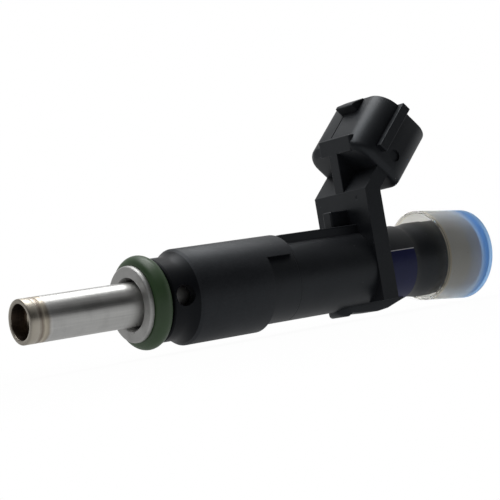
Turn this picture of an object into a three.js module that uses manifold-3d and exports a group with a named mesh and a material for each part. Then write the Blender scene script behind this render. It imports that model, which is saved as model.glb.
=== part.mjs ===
// Port fuel injector with a long nozzle, an angled two-pin connector and a transit cap.
// Millimetres. X runs along the injector from the nozzle tip to the fuel inlet, +Z is the
// connector side, and the origin is the centre of the lower O-ring on the injector's axis.
import * as THREE from "three";
import { mergeVertices } from "three/addons/utils/BufferGeometryUtils.js";
import Module from "manifold-3d";

const wasm = await Module();
wasm.setup();

// ---- Driving dimensions -------------------------------------------------------------

// Facets of turned pieces: outer pieces, inner pieces, small holes.
const OUTER_SIDES = 48;
const INNER_SIDES = 28;
const HOLE_SIDES = 16;

// Clearances.
const PRESS_GAP = 0.02; // between pieces that are pressed or welded together
const SLIDE_GAP = 0.06; // radial, around the moving armature
const FACE_GAP = 0.1; // between end faces of neighbouring pieces

// Nozzle tube.
const TIP_X = -21.2;
const TUBE_R = 3.42;
const TUBE_BORE_R = 2.7;
const TUBE_END_X = 13;
const TIP_RECESS = 2.4;
const WELD_GROOVE_X = 2.2; // from the tip
const WELD_GROOVE_DEPTH = 0.08;
const WELD_GROOVE_WIDTH = 0.5;

// Valve at the tip.
const RETAINER_LENGTH = 0.6;
const RETAINER_BORE_R = 1.7;
const DISC_THICKNESS = 0.2;
const SPRAY_HOLES = 4;
const SPRAY_HOLE_R = 0.16;
const SPRAY_CIRCLE_R = 0.42;
const SEAT_LENGTH = 1.55;
const SEAT_THROAT_R = 0.6;
const SEAT_THROAT_LENGTH = 0.4;
const BALL_R = 1.6;
const GUIDE_LENGTH = 1.2;
const GUIDE_HOLES = 5;
const GUIDE_HOLE_R = 0.34;
const NEEDLE_R = 1.1;
const NEEDLE_BORE_R = 0.72;
const NEEDLE_PORT_R = 0.35;

// Armature and its lift.
const LIFT = 0.1;
const LIFT_GAP = 0.02; // left between armature and pole at full lift
const POLE_INSET = 2; // from the nozzle tube's end to the pole's face
const ARMATURE_LENGTH = 4;

// Magnet group.
const RING_LENGTH = 3.5;
const POLE_BORE_R = 1.6;
const POLE_END_X = 30;
const SPRING_MEAN_R = 1.28;
const SPRING_WIRE_R = 0.18;
const SPRING_TURNS = 8;
const SPRING_LENGTH = 9.6;
const ADJUSTER_LENGTH = 6;
const ADJUSTER_WALL = 0.5;
const ADJUSTER_SLIT = 0.4;
const BOBBIN_START_X = 12.9;
const BOBBIN_LENGTH = 10.9;
const BOBBIN_FLANGE = 0.9;
const BOBBIN_WALL = 0.6;
const CAN_START_X = 11.6;
const CAN_END_X = 25.4;
const CAN_MARGIN = 0.7; // of plastic between the can and the barrel's surface
const CAN_WALL = 0.75;
const WASHER_LENGTH = 1.3;

// Steel collar that carries the lower O-ring.
const COLLAR_R = 5.89;
const COLLAR_FLANGE = 0.76;
const COLLAR_CHAMFER = 0.25;
const COLLAR_MOUTH_GAP = 0.73; // round the nozzle tube
const COLLAR_MOUTH_DEPTH = 1;
const COLLAR_BORE_GAP = 0.3; // round the nozzle tube
const COLLAR_BORE_DEPTH = 3.6;
const COLLAR_END_X = 7.4;

// O-rings.
const LOWER_SEAL_R = 7.3;
const LOWER_SEAL_SECTION_R = 1.5;
const UPPER_SEAL_R = 6.75;
const UPPER_SEAL_SECTION_R = 1.3;
const UPPER_SEAL_X = 64.45;

// Outer sleeve with its neck.
const NECK_FACE_GAP = 0.2; // behind the lower O-ring
const NECK_R = 6.5;
const NECK_CHAMFER = 0.3;
const NECK_WALL = 1.3;
const CONE_START_X = 3.96;
const SLEEVE_START_X = 6.475;
const SLEEVE_WALL = 0.94;
const SLEEVE_END_X = 25.5;
const SLEEVE_STEP_X = 20.05;
const SLEEVE_STEP_Z = 3.85;
const VENT_X = 3.83;
const VENT_R = 1.62;

// Overmoulded body.
const BODY_START_X = 8;
const BODY_R = 6.55;
const RIB_HALF = 3.1;
const RIB_RISE = 0.65; // above the barrel
const KEEL_HALF = 2.4;
const KEEL_START_X = 36;
const KEEL_DROP = 1; // below the barrel
const KEEL_TAIL = 4.7; // behind the plate
const KEEL_ROOT = 0.67; // buried below the thinner of the barrel and the neck
const PLATE_X = 41.8;
const PLATE_THICKNESS = 3.2;
const PLATE_HALF = 6.75;
const PLATE_BOTTOM_Z = -5.9;
const WEB_HALF = 1.1;
const SNOUT_X = 38.3;
const SNOUT_RISE = 2.65; // above the top rib
const NECK2_R = 6.22; // rear neck behind the plate
const NECK2_END_X = 50.8;
const RELIEF_R = 6.1;
const RELIEF_END_X = 53.5;
const SHOULDER_START_X = 54.6;
const SHOULDER_R = 6.32;
const SHOULDER_END_X = 62.8;

// Angled arm and connector shroud. Distances are along and across the shroud's axis.
const TILT = THREE.MathUtils.degToRad(45);
const ARM_TOP = 20.6;
const ARM_THICKNESS = 2.55;
const HEAD_BOTTOM_Z = 19.1;
const HEAD_TOP_Z = 21.9;
const HEAD_HALF = 4.95;
const SHROUD_BASE = 43.3;
const SHROUD_MOUTH = 54.4;
const SHROUD_LATCH_SIDE = 14.8;
const SHROUD_REAR_SIDE = 26.6;
const SHROUD_HALF = 7.5;
const SHROUD_CORNER_LATCH = 3.7;
const SHROUD_CORNER_REAR = 3.3;
const SHROUD_BASE_ROUND = 1.3;
const SHROUD_WALL = 1.2;
const SOCKET_FLOOR = 46.6;
const KEY_START = 18.3;
const KEY_WIDTH = 1.7;
const KEY_HEIGHT = 1.05;
const KEY_OVERHANG = 0.35; // past the mouth
const NIB_START = 51.5;
const NIB_HALF = 2.2;
const NIB_HEIGHT = 1.5;

// Terminals.
const PIN_OFFSET = 3.05; // of the blades
const RUN_INSET = 1.15; // from the middle to each strip along the body
const PIN_WIDTH = 1.5;
const PIN_THICKNESS = 0.63;
const PIN_ACROSS = 21.3;
const PIN_TIP = 52.7;
const PIN_RUN_DEPTH = 1.1; // below the magnet can's surface
const PIN_RISE_X = 42.9;
const JOG_LOW_Z = 8; // where the strips step outwards
const JOG_HIGH_Z = 11;

// Inlet side.
const INLET_R = 4.6;
const INLET_BORE_R = 3.2;
const INLET_END_GAP = 0.65; // from the upper O-ring to the end of the inlet
const INLET_RIM = 0.57; // above the seat of the upper O-ring
const INLET_RIM_LENGTH = 0.6;
const STOP_LENGTH = 0.5;
const FILTER_LENGTH = 7.5;
const FILTER_RIM_LENGTH = 1;
const FILTER_R = 2.4;
const FILTER_WALL = 0.35;
const FILTER_WINDOWS = 4;
const LABEL_START_X = 45.3;
const LABEL_END_X = 50.6;
const LABEL_THICKNESS = 0.08;
const LABEL_TOP_DEG = 17.5; // above the near side
const LABEL_SPAN_DEG = 215;

// Transit cap, which sits a little askew on the inlet.
const CAP_MOUTH_X = 55.92;
const CAP_MOUTH_Z = 0.58;
const CAP_TILT = THREE.MathUtils.degToRad(5.13);
const CAP_CLEARANCE = 0.45; // round the upper O-ring
const CAP_WALL = 0.4;
const CAP_END_GAP = 0.5755; // past the end of the inlet
const CAP_ROUND = 1.2;

// ---- Geometry helpers ---------------------------------------------------------------

// A closed mesh as a manifold solid, with every vertex shared.
function solid(geometry) {
  const bare = geometry.clone();
  bare.deleteAttribute("normal");
  bare.deleteAttribute("uv");
  const merged = mergeVertices(bare, 1e-4);
  const mesh = new wasm.Mesh({
    numProp: 3,
    vertProperties: merged.attributes.position.array,
    triVerts: new Uint32Array(merged.index.array),
  });
  return new wasm.Manifold(mesh);
}

// A manifold solid as a three.js geometry with flat faces.
function geometryOf(manifold) {
  const mesh = manifold.getMesh();
  const geometry = new THREE.BufferGeometry();
  geometry.setAttribute("position", new THREE.BufferAttribute(mesh.vertProperties, 3));
  geometry.setIndex(new THREE.BufferAttribute(mesh.triVerts, 1));
  const flat = geometry.toNonIndexed();
  flat.computeVertexNormals();
  return flat;
}

function joined(first, ...others) {
  return geometryOf(others.reduce((sum, next) => sum.add(solid(next)), solid(first)));
}

function cutBy(body, ...tools) {
  return geometryOf(tools.reduce((rest, tool) => rest.subtract(solid(tool)), solid(body)));
}

// Turns an outline of [x, radius] points about the X axis. An outline that starts and ends
// on the axis stays open there, and any other closes on itself.
function turned(outline, sides = OUTER_SIDES) {
  const touchesAxis = outline[0][1] === 0 && outline[outline.length - 1][1] === 0;
  const points = outline.map(([x, r]) => new THREE.Vector2(r, x));
  if (THREE.ShapeUtils.area(points) < 0) points.reverse();
  if (!touchesAxis) points.push(points[0].clone());
  const geometry = new THREE.LatheGeometry(points, sides);
  geometry.rotateZ(-Math.PI / 2);
  return geometry;
}

// A plain tube along X.
function tube(startX, endX, outerR, innerR, sides = OUTER_SIDES) {
  return turned(
    [
      [startX, innerR],
      [startX, outerR],
      [endX, outerR],
      [endX, innerR],
    ],
    sides,
  );
}

// A plain rod along X.
function rod(startX, endX, radius, sides = OUTER_SIDES) {
  return turned(
    [
      [startX, 0],
      [startX, radius],
      [endX, radius],
      [endX, 0],
    ],
    sides,
  );
}

function shapeOf(points) {
  return new THREE.Shape(points.map(([a, b]) => new THREE.Vector2(a, b)));
}

// A side profile of [x, z] points, as thick as twice halfWidth along Y.
function slab(points, halfWidth) {
  const geometry = new THREE.ExtrudeGeometry(shapeOf(points), {
    depth: 2 * halfWidth,
    bevelEnabled: false,
    curveSegments: 8,
  });
  geometry.rotateX(Math.PI / 2);
  geometry.translate(0, halfWidth, 0);
  return geometry;
}

function block(x0, x1, y0, y1, z0, z1) {
  const geometry = new THREE.BoxGeometry(x1 - x0, y1 - y0, z1 - z0);
  geometry.translate((x0 + x1) / 2, (y0 + y1) / 2, (z0 + z1) / 2);
  return geometry;
}

// A round bar between two points.
function bar(from, to, radius, sides = HOLE_SIDES) {
  const start = new THREE.Vector3(...from);
  const along = new THREE.Vector3(...to).sub(start);
  const geometry = new THREE.CylinderGeometry(radius, radius, along.length(), sides);
  const turn = new THREE.Quaternion().setFromUnitVectors(
    new THREE.Vector3(0, 1, 0),
    along.clone().normalize(),
  );
  geometry.applyQuaternion(turn);
  geometry.translate(...start.addScaledVector(along, 0.5).toArray());
  return geometry;
}

// Unit vectors of the shroud: along its axis towards the mouth, and across it to the rear.
const ALONG = new THREE.Vector3(Math.sin(TILT), 0, Math.cos(TILT));
const ACROSS = new THREE.Vector3(Math.cos(TILT), 0, -Math.sin(TILT));
const SHROUD_FRAME = new THREE.Matrix4().makeBasis(
  ACROSS,
  new THREE.Vector3(0, 1, 0),
  ALONG,
);

// The [x, z] point at a distance along and across the shroud's axis.
function armPoint(along, across) {
  return [
    along * ALONG.x + across * ACROSS.x,
    along * ALONG.z + across * ACROSS.z,
  ];
}

// The height of the line at a given distance across the shroud, where it meets x.
function armHeight(x, across) {
  return (x - across * ACROSS.x) / Math.tan(TILT) + across * ACROSS.z;
}

// Extrudes an outline in the shroud's cross-section along its axis.
function alongShroud(shape, start, end, bevel = 0) {
  const geometry = new THREE.ExtrudeGeometry(shape, {
    depth: end - start - 2 * bevel,
    bevelEnabled: bevel > 0,
    bevelThickness: bevel,
    bevelSize: bevel,
    bevelOffset: -bevel,
    bevelSegments: 3,
    curveSegments: 6,
  });
  geometry.translate(0, 0, start + bevel);
  geometry.applyMatrix4(SHROUD_FRAME);
  return geometry;
}

// The shroud's cross-section, drawn inset from its outer walls.
function shroudSection(inset) {
  const low = SHROUD_LATCH_SIDE + inset;
  const high = SHROUD_REAR_SIDE - inset;
  const half = SHROUD_HALF - inset;
  const latchR = SHROUD_CORNER_LATCH - inset;
  const rearR = SHROUD_CORNER_REAR - inset;
  const quarter = Math.PI / 2;
  const shape = new THREE.Shape();
  shape.absarc(high - rearR, half - rearR, rearR, 0, quarter);
  shape.absarc(low + latchR, half - latchR, latchR, quarter, 2 * quarter);
  shape.absarc(low + latchR, latchR - half, latchR, 2 * quarter, 3 * quarter);
  shape.absarc(high - rearR, rearR - half, rearR, 3 * quarter, 4 * quarter);
  return shape;
}

const root = new THREE.Group();

// Adds one piece to a group under its own name.
function piece(name, geometry, colour, roughness, metalness, parent = root) {
  const material = new THREE.MeshStandardMaterial({ color: colour, roughness, metalness });
  const mesh = new THREE.Mesh(geometry, material);
  mesh.name = name;
  parent.add(mesh);
  return mesh;
}

const steel = (name, geometry, parent) => piece(name, geometry, 0xb9b9b4, 0.3, 1, parent);
const darkSteel = (name, geometry, parent) => piece(name, geometry, 0x6f7072, 0.45, 1, parent);
const blackPlastic = (name, geometry, parent) => piece(name, geometry, 0x17181a, 0.5, 0, parent);

// ---- Derived places ------------------------------------------------------------------

const POLE_FACE_X = TUBE_END_X + POLE_INSET;
const CAN_R = BODY_R - CAN_MARGIN;
const PIN_RUN_Z = CAN_R - PIN_RUN_DEPTH;
const RUN_OFFSET = RUN_INSET + PIN_WIDTH / 2;
const RIB_TOP_Z = BODY_R + RIB_RISE;
const SNOUT_TOP_Z = RIB_TOP_Z + SNOUT_RISE;
const KEEL_DEPTH = BODY_R + KEEL_DROP;
const SLEEVE_R = BODY_R + PRESS_GAP + SLEEVE_WALL;
const COLLAR_FACE_X = -LOWER_SEAL_SECTION_R - PRESS_GAP - COLLAR_FLANGE;
const NECK_FACE_X = LOWER_SEAL_SECTION_R + NECK_FACE_GAP;
const INLET_END_X = UPPER_SEAL_X + UPPER_SEAL_SECTION_R + INLET_END_GAP;
const CAP_R = UPPER_SEAL_R + CAP_CLEARANCE + CAP_WALL;
const CAP_INSIDE = (INLET_END_X + CAP_END_GAP - CAP_MOUTH_X) / Math.cos(CAP_TILT);
const CAP_LENGTH = CAP_INSIDE + CAP_WALL;
const RETAINER_X = TIP_X + TIP_RECESS;
const DISC_X = RETAINER_X + RETAINER_LENGTH;
const SEAT_X = DISC_X + DISC_THICKNESS;
const SEAT_END_X = SEAT_X + SEAT_LENGTH;
const CONE_APEX_X = SEAT_X + SEAT_THROAT_LENGTH - SEAT_THROAT_R; // of the 90 degree seat cone
const BALL_X = CONE_APEX_X + (BALL_R + PRESS_GAP) * Math.SQRT2;
const NEEDLE_START_X = BALL_X + Math.sqrt(BALL_R ** 2 - NEEDLE_BORE_R ** 2) + PRESS_GAP;
const ARMATURE_END_X = POLE_FACE_X - LIFT - LIFT_GAP;
const ARMATURE_X = ARMATURE_END_X - ARMATURE_LENGTH;
const ARMATURE_R = TUBE_BORE_R - SLIDE_GAP;
const RING_X = TUBE_END_X + PRESS_GAP;
const RING_END_X = RING_X + RING_LENGTH;
const SPRING_X = ARMATURE_END_X + PRESS_GAP;
const SPRING_END_X = SPRING_X + SPRING_LENGTH;
const COIL_BORE_R = TUBE_R + PRESS_GAP;
const CAN_BORE_R = CAN_R - CAN_WALL;
const BOBBIN_R = CAN_BORE_R - PRESS_GAP;
const BOBBIN_CORE_R = COIL_BORE_R + BOBBIN_WALL;
const BOBBIN_END_X = BOBBIN_START_X + BOBBIN_LENGTH;
const SEAL_SEAT_R = LOWER_SEAL_R - 2 * LOWER_SEAL_SECTION_R;
const NECK_BORE_R = SEAL_SEAT_R + PRESS_GAP;
const BODY_BORE_R = CAN_R + PRESS_GAP;
const STEM_BORE_R = INLET_R + PRESS_GAP;
const PLATE_END_X = PLATE_X + PLATE_THICKNESS;
const INLET_X = POLE_END_X + PRESS_GAP;
const UPPER_SEAT_R = UPPER_SEAL_R - 2 * UPPER_SEAL_SECTION_R - PRESS_GAP;
const STOP_BORE_R = Math.max(INLET_R, UPPER_SEAT_R) + PRESS_GAP;
const SEAT_CONE_X = UPPER_SEAL_X - UPPER_SEAL_SECTION_R - STOP_LENGTH; // from the stem to the seat

// ---- Nozzle and valve ----------------------------------------------------------------

function nozzleTube() {
  const groove = TIP_X + WELD_GROOVE_X;
  const grooveR = TUBE_R - WELD_GROOVE_DEPTH;
  return turned([
    [TIP_X, TUBE_BORE_R + 0.08],
    [TIP_X, TUBE_R - 0.12],
    [TIP_X + 0.12, TUBE_R],
    [groove, TUBE_R],
    [groove + WELD_GROOVE_WIDTH / 2, grooveR],
    [groove + WELD_GROOVE_WIDTH, TUBE_R],
    [TUBE_END_X, TUBE_R],
    [TUBE_END_X, TUBE_BORE_R],
    [TIP_X + 0.08, TUBE_BORE_R],
  ]);
}

function orificeRetainer() {
  const outerR = TUBE_BORE_R - PRESS_GAP;
  return turned(
    [
      [RETAINER_X, RETAINER_BORE_R + 0.35],
      [RETAINER_X, outerR],
      [DISC_X - PRESS_GAP, outerR],
      [DISC_X - PRESS_GAP, RETAINER_BORE_R],
      [RETAINER_X + 0.35, RETAINER_BORE_R],
    ],
    INNER_SIDES,
  );
}

function orificeDisc() {
  const disc = rod(DISC_X, SEAT_X - PRESS_GAP, TUBE_BORE_R - PRESS_GAP, INNER_SIDES);
  const holes = [];
  for (let i = 0; i < SPRAY_HOLES; i++) {
    const angle = ((i + 0.5) / SPRAY_HOLES) * 2 * Math.PI;
    const y = SPRAY_CIRCLE_R * Math.cos(angle);
    const z = SPRAY_CIRCLE_R * Math.sin(angle);
    holes.push(bar([DISC_X - 1, y, z], [SEAT_X + 1, y, z], SPRAY_HOLE_R, 8));
  }
  return cutBy(disc, ...holes);
}

function valveSeat() {
  const throatEnd = SEAT_X + SEAT_THROAT_LENGTH;
  const mouthR = SEAT_END_X - throatEnd + SEAT_THROAT_R;
  return turned(
    [
      [SEAT_X, SEAT_THROAT_R],
      [SEAT_X, TUBE_BORE_R - PRESS_GAP],
      [SEAT_END_X, TUBE_BORE_R - PRESS_GAP],
      [SEAT_END_X, mouthR],
      [throatEnd, SEAT_THROAT_R],
    ],
    INNER_SIDES,
  );
}

function ballGuide() {
  const startX = SEAT_END_X + PRESS_GAP;
  const ring = tube(
    startX,
    startX + GUIDE_LENGTH,
    TUBE_BORE_R - PRESS_GAP,
    BALL_R + PRESS_GAP,
    INNER_SIDES,
  );
  const holeCircleR = (TUBE_BORE_R + BALL_R) / 2;
  const holes = [];
  for (let i = 0; i < GUIDE_HOLES; i++) {
    const angle = (i / GUIDE_HOLES) * 2 * Math.PI;
    const y = holeCircleR * Math.cos(angle);
    const z = holeCircleR * Math.sin(angle);
    holes.push(bar([startX - 1, y, z], [startX + GUIDE_LENGTH + 1, y, z], GUIDE_HOLE_R, 8));
  }
  return cutBy(ring, ...holes);
}

function valveBall() {
  const ball = new THREE.SphereGeometry(BALL_R, INNER_SIDES, 16);
  ball.rotateZ(Math.PI / 2);
  ball.translate(BALL_X, 0, 0);
  return ball;
}

function needleTube() {
  const pipe = tube(
    NEEDLE_START_X,
    ARMATURE_END_X - 1,
    NEEDLE_R,
    NEEDLE_BORE_R,
    INNER_SIDES,
  );
  const portX = NEEDLE_START_X + 2;
  return cutBy(pipe, bar([portX, -4, 0], [portX, 4, 0], NEEDLE_PORT_R, 10));
}

function armature() {
  return turned(
    [
      [ARMATURE_X, NEEDLE_R + PRESS_GAP],
      [ARMATURE_X, ARMATURE_R - 0.3],
      [ARMATURE_X + 0.3, ARMATURE_R],
      [ARMATURE_END_X, ARMATURE_R],
      [ARMATURE_END_X, NEEDLE_BORE_R],
      [ARMATURE_END_X - 0.9, NEEDLE_BORE_R],
      [ARMATURE_END_X - 0.9, NEEDLE_R + PRESS_GAP],
    ],
    INNER_SIDES,
  );
}

// ---- Magnet group --------------------------------------------------------------------

function poleCore() {
  return turned(
    [
      [POLE_FACE_X, POLE_BORE_R],
      [POLE_FACE_X, TUBE_BORE_R - PRESS_GAP],
      [RING_END_X + PRESS_GAP, TUBE_BORE_R - PRESS_GAP],
      [RING_END_X + PRESS_GAP, TUBE_R],
      [POLE_END_X, TUBE_R],
      [POLE_END_X, POLE_BORE_R],
    ],
    INNER_SIDES,
  );
}

// A helix of the given turns between two places along X.
class Coil extends THREE.Curve {
  constructor(startX, endX, radius, turns) {
    super();
    Object.assign(this, { startX, endX, radius, turns });
  }
  getPoint(t, target = new THREE.Vector3()) {
    const angle = 2 * Math.PI * this.turns * t;
    const x = THREE.MathUtils.lerp(this.startX, this.endX, t);
    return target.set(x, this.radius * Math.cos(angle), this.radius * Math.sin(angle));
  }
}

function returnSpring() {
  const wire = new THREE.Shape();
  wire.absarc(0, 0, SPRING_WIRE_R, 0, 2 * Math.PI);
  const path = new Coil(
    SPRING_X + SPRING_WIRE_R,
    SPRING_END_X - SPRING_WIRE_R,
    SPRING_MEAN_R,
    SPRING_TURNS,
  );
  return new THREE.ExtrudeGeometry(wire, {
    steps: SPRING_TURNS * 12,
    extrudePath: path,
    curveSegments: 3,
  });
}

function springAdjuster() {
  const startX = SPRING_END_X + PRESS_GAP;
  const outerR = POLE_BORE_R - PRESS_GAP;
  const sleeve = tube(
    startX,
    startX + ADJUSTER_LENGTH,
    outerR,
    outerR - ADJUSTER_WALL,
    INNER_SIDES,
  );
  const half = ADJUSTER_SLIT / 2;
  const slit = block(startX - 1, startX + ADJUSTER_LENGTH + 1, -half, half, 0, outerR + 1);
  return cutBy(sleeve, slit);
}

function coilBobbin() {
  return turned(
    [
      [BOBBIN_START_X, COIL_BORE_R],
      [BOBBIN_START_X, BOBBIN_R],
      [BOBBIN_START_X + BOBBIN_FLANGE, BOBBIN_R],
      [BOBBIN_START_X + BOBBIN_FLANGE, BOBBIN_CORE_R],
      [BOBBIN_END_X - BOBBIN_FLANGE, BOBBIN_CORE_R],
      [BOBBIN_END_X - BOBBIN_FLANGE, BOBBIN_R],
      [BOBBIN_END_X, BOBBIN_R],
      [BOBBIN_END_X, COIL_BORE_R],
    ],
    INNER_SIDES,
  );
}

function coilWinding() {
  return tube(
    BOBBIN_START_X + BOBBIN_FLANGE + PRESS_GAP,
    BOBBIN_END_X - BOBBIN_FLANGE - PRESS_GAP,
    BOBBIN_R - 0.2,
    BOBBIN_CORE_R + PRESS_GAP,
    INNER_SIDES,
  );
}

function magnetCan() {
  const can = turned([
    [CAN_START_X, COIL_BORE_R],
    [CAN_START_X, CAN_R - 0.5],
    [CAN_START_X + 0.5, CAN_R],
    [CAN_END_X, CAN_R],
    [CAN_END_X, CAN_BORE_R],
    [BOBBIN_START_X - FACE_GAP, CAN_BORE_R],
    [BOBBIN_START_X - FACE_GAP, COIL_BORE_R],
  ]);
  return cutBy(can, ...pinSlots(BOBBIN_END_X, CAN_END_X + 1));
}

// The pair of slots that the terminals pass through.
function pinSlots(startX, endX) {
  const side = PIN_WIDTH / 2 + 0.2;
  const floorZ = PIN_RUN_Z - PIN_THICKNESS / 2 - 0.2;
  return [-RUN_OFFSET, RUN_OFFSET].map((y) =>
    block(startX, endX, y - side, y + side, floorZ, CAN_R + 1),
  );
}

function fluxWasher() {
  const startX = BOBBIN_END_X + FACE_GAP;
  const washer = tube(startX, startX + WASHER_LENGTH, BOBBIN_R, COIL_BORE_R, INNER_SIDES);
  return cutBy(washer, ...pinSlots(startX - 1, startX + WASHER_LENGTH + 1));
}

// ---- Lower seal and sleeve -----------------------------------------------------------

function sealCollar() {
  const mouthEnd = COLLAR_FACE_X + COLLAR_MOUTH_DEPTH;
  const boreEnd = COLLAR_FACE_X + COLLAR_BORE_DEPTH;
  return turned([
    [COLLAR_FACE_X, TUBE_R + COLLAR_MOUTH_GAP],
    [COLLAR_FACE_X, COLLAR_R - COLLAR_CHAMFER],
    [COLLAR_FACE_X + COLLAR_CHAMFER, COLLAR_R],
    [COLLAR_FACE_X + COLLAR_FLANGE, COLLAR_R],
    [COLLAR_FACE_X + COLLAR_FLANGE, SEAL_SEAT_R - PRESS_GAP],
    [COLLAR_END_X, SEAL_SEAT_R - PRESS_GAP],
    [COLLAR_END_X, COIL_BORE_R],
    [boreEnd, COIL_BORE_R],
    [boreEnd, TUBE_R + COLLAR_BORE_GAP],
    [mouthEnd, TUBE_R + COLLAR_BORE_GAP],
  ]);
}

// A rubber ring of round section about the X axis.
function rubberRing(centreX, outerR, sectionR) {
  const outline = [];
  const corners = 14;
  for (let i = 0; i < corners; i++) {
    const angle = (i / corners) * 2 * Math.PI;
    outline.push([
      centreX + sectionR * Math.cos(angle),
      outerR - sectionR + sectionR * Math.sin(angle),
    ]);
  }
  return turned(outline);
}

function bodySleeve() {
  const cavityR = NECK_R - NECK_WALL;
  const boreR = BODY_R + PRESS_GAP;
  const shell = turned([
    [NECK_FACE_X, NECK_BORE_R],
    [NECK_FACE_X, NECK_R - NECK_CHAMFER],
    [NECK_FACE_X + NECK_CHAMFER, NECK_R],
    [CONE_START_X, NECK_R],
    [SLEEVE_START_X - 0.9, NECK_R + 0.35],
    [SLEEVE_START_X, SLEEVE_R],
    [SLEEVE_END_X, SLEEVE_R],
    [SLEEVE_END_X, boreR],
    [BODY_START_X - FACE_GAP, boreR],
    [BODY_START_X - FACE_GAP, cavityR],
    [NECK_FACE_X + NECK_WALL / 2, cavityR],
    [NECK_FACE_X + NECK_WALL / 2, NECK_BORE_R],
  ]);
  const reach = SLEEVE_R + 1;
  const step = block(SLEEVE_STEP_X, SLEEVE_END_X + 1, -reach, reach, -reach, SLEEVE_STEP_Z);
  const vent = bar([VENT_X, -reach, 0], [VENT_X, -(cavityR - 0.3), 0], VENT_R, 20);
  return cutBy(shell, step, vent);
}

// ---- Overmoulded body ----------------------------------------------------------------

// One terminal: a strip along the body and up the plate, a step outwards, then the arm and
// the blade. It is drawn with a margin all round.
function terminal(hand, margin = 0) {
  const half = PIN_THICKNESS / 2 + margin;
  const halfWidth = PIN_WIDTH / 2 + margin;
  const startX = BOBBIN_END_X + PRESS_GAP - margin;
  const tip = PIN_TIP + margin;
  const nearX = PIN_RISE_X - half;
  const farX = PIN_RISE_X + half;
  const run = slab(
    [
      [startX, PIN_RUN_Z - half],
      [farX, PIN_RUN_Z - half],
      [farX, JOG_HIGH_Z + margin],
      [nearX, JOG_HIGH_Z + margin],
      [nearX, PIN_RUN_Z + half],
      [startX, PIN_RUN_Z + half],
    ],
    halfWidth,
  );
  const rise = slab(
    [
      [nearX, JOG_LOW_Z - margin],
      [farX, JOG_LOW_Z - margin],
      [farX, armHeight(farX, PIN_ACROSS + half)],
      armPoint(tip, PIN_ACROSS + half),
      armPoint(tip, PIN_ACROSS - half),
      [nearX, armHeight(nearX, PIN_ACROSS - half)],
    ],
    halfWidth,
  );
  run.translate(0, hand * RUN_OFFSET, 0);
  rise.translate(0, hand * PIN_OFFSET, 0);
  return joined(run, rise);
}

function bodyBarrel() {
  return turned([
    [BODY_START_X, COIL_BORE_R],
    [BODY_START_X, BODY_R],
    [PLATE_X + 1, BODY_R],
    [PLATE_X + 1, NECK2_R],
    [NECK2_END_X, NECK2_R],
    [NECK2_END_X + 0.3, RELIEF_R],
    [RELIEF_END_X, RELIEF_R],
    [SHOULDER_START_X, SHOULDER_R],
    [SHOULDER_END_X - 0.3, SHOULDER_R],
    [SHOULDER_END_X, SHOULDER_R - 0.3],
    [SHOULDER_END_X, STOP_BORE_R],
    [SEAT_CONE_X, STEM_BORE_R],
    [POLE_END_X, STEM_BORE_R],
    [POLE_END_X, COIL_BORE_R],
  ]);
}

// The space that the magnet can and its washer take up inside the barrel.
function canSpace() {
  return tube(CAN_START_X - FACE_GAP, CAN_END_X + PRESS_GAP, BODY_BORE_R, COIL_BORE_R / 2);
}

function topRib() {
  return slab(
    [
      [SLEEVE_END_X + FACE_GAP, BODY_R - 1.5],
      [PLATE_X + 1, BODY_R - 1.5],
      [PLATE_X + 1, RIB_TOP_Z],
      [SLEEVE_END_X + FACE_GAP, RIB_TOP_Z],
    ],
    RIB_HALF,
  );
}

// The keel under the barrel: a round nose, a shallow notch, and a taper behind the plate.
function keel() {
  const noseR = KEEL_DEPTH - BODY_R + 0.4;
  const endX = PLATE_END_X + KEEL_TAIL;
  const rootZ = KEEL_ROOT - Math.min(BODY_R, NECK2_R);
  const profile = [[KEEL_START_X, rootZ]];
  for (let i = 0; i <= 5; i++) {
    const angle = (i / 5) * (Math.PI / 2);
    profile.push([
      KEEL_START_X + 1.2 * noseR * (1 - Math.cos(angle)),
      -KEEL_DEPTH + noseR * (1 - Math.sin(angle)),
    ]);
  }
  profile.push(
    [PLATE_X - 4, -KEEL_DEPTH],
    [PLATE_X - 3.3, -KEEL_DEPTH + 0.45],
    [PLATE_X - 2.6, -KEEL_DEPTH + 0.3],
    [PLATE_X + 2.2, -KEEL_DEPTH],
    [PLATE_END_X + 1.2, -KEEL_DEPTH + 0.27],
    [endX, -NECK2_R],
    [endX, rootZ],
  );
  // Seen from below, the nose is a half circle as wide as the keel.
  const plan = new THREE.Shape();
  plan.absarc(KEEL_START_X + KEEL_HALF, 0, KEEL_HALF, Math.PI / 2, 1.5 * Math.PI);
  plan.lineTo(endX + 1, -KEEL_HALF);
  plan.lineTo(endX + 1, KEEL_HALF);
  const footprint = new THREE.ExtrudeGeometry(plan, {
    depth: KEEL_DEPTH + 1,
    bevelEnabled: false,
    curveSegments: 12,
  });
  footprint.translate(0, 0, -KEEL_DEPTH - 1);
  return geometryOf(solid(slab(profile, KEEL_HALF + 1)).intersect(solid(footprint)));
}

function flangePlate() {
  const buried = SHROUD_BASE + 2.5;
  const armRear = ARM_TOP + ARM_THICKNESS;
  return slab(
    [
      [PLATE_X, PLATE_BOTTOM_Z],
      [PLATE_END_X, PLATE_BOTTOM_Z],
      [PLATE_END_X, armHeight(PLATE_END_X, armRear)],
      armPoint(buried, armRear),
      armPoint(buried, ARM_TOP),
      [PLATE_X, armHeight(PLATE_X, ARM_TOP)],
    ],
    PLATE_HALF,
  );
}

// The web between the plate and the head, and the snout that carries it forward below.
function armWeb() {
  return slab(
    [
      [PLATE_X, armHeight(PLATE_X, ARM_TOP) - 1],
      [PLATE_X + 2, armHeight(PLATE_X, ARM_TOP) - 1],
      armPoint(SHROUD_BASE + 2, ARM_TOP + 0.5),
      [PLATE_X + 1.6, HEAD_BOTTOM_Z + 0.4],
      [PLATE_X, HEAD_BOTTOM_Z + 0.4],
    ],
    WEB_HALF,
  );
}

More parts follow.
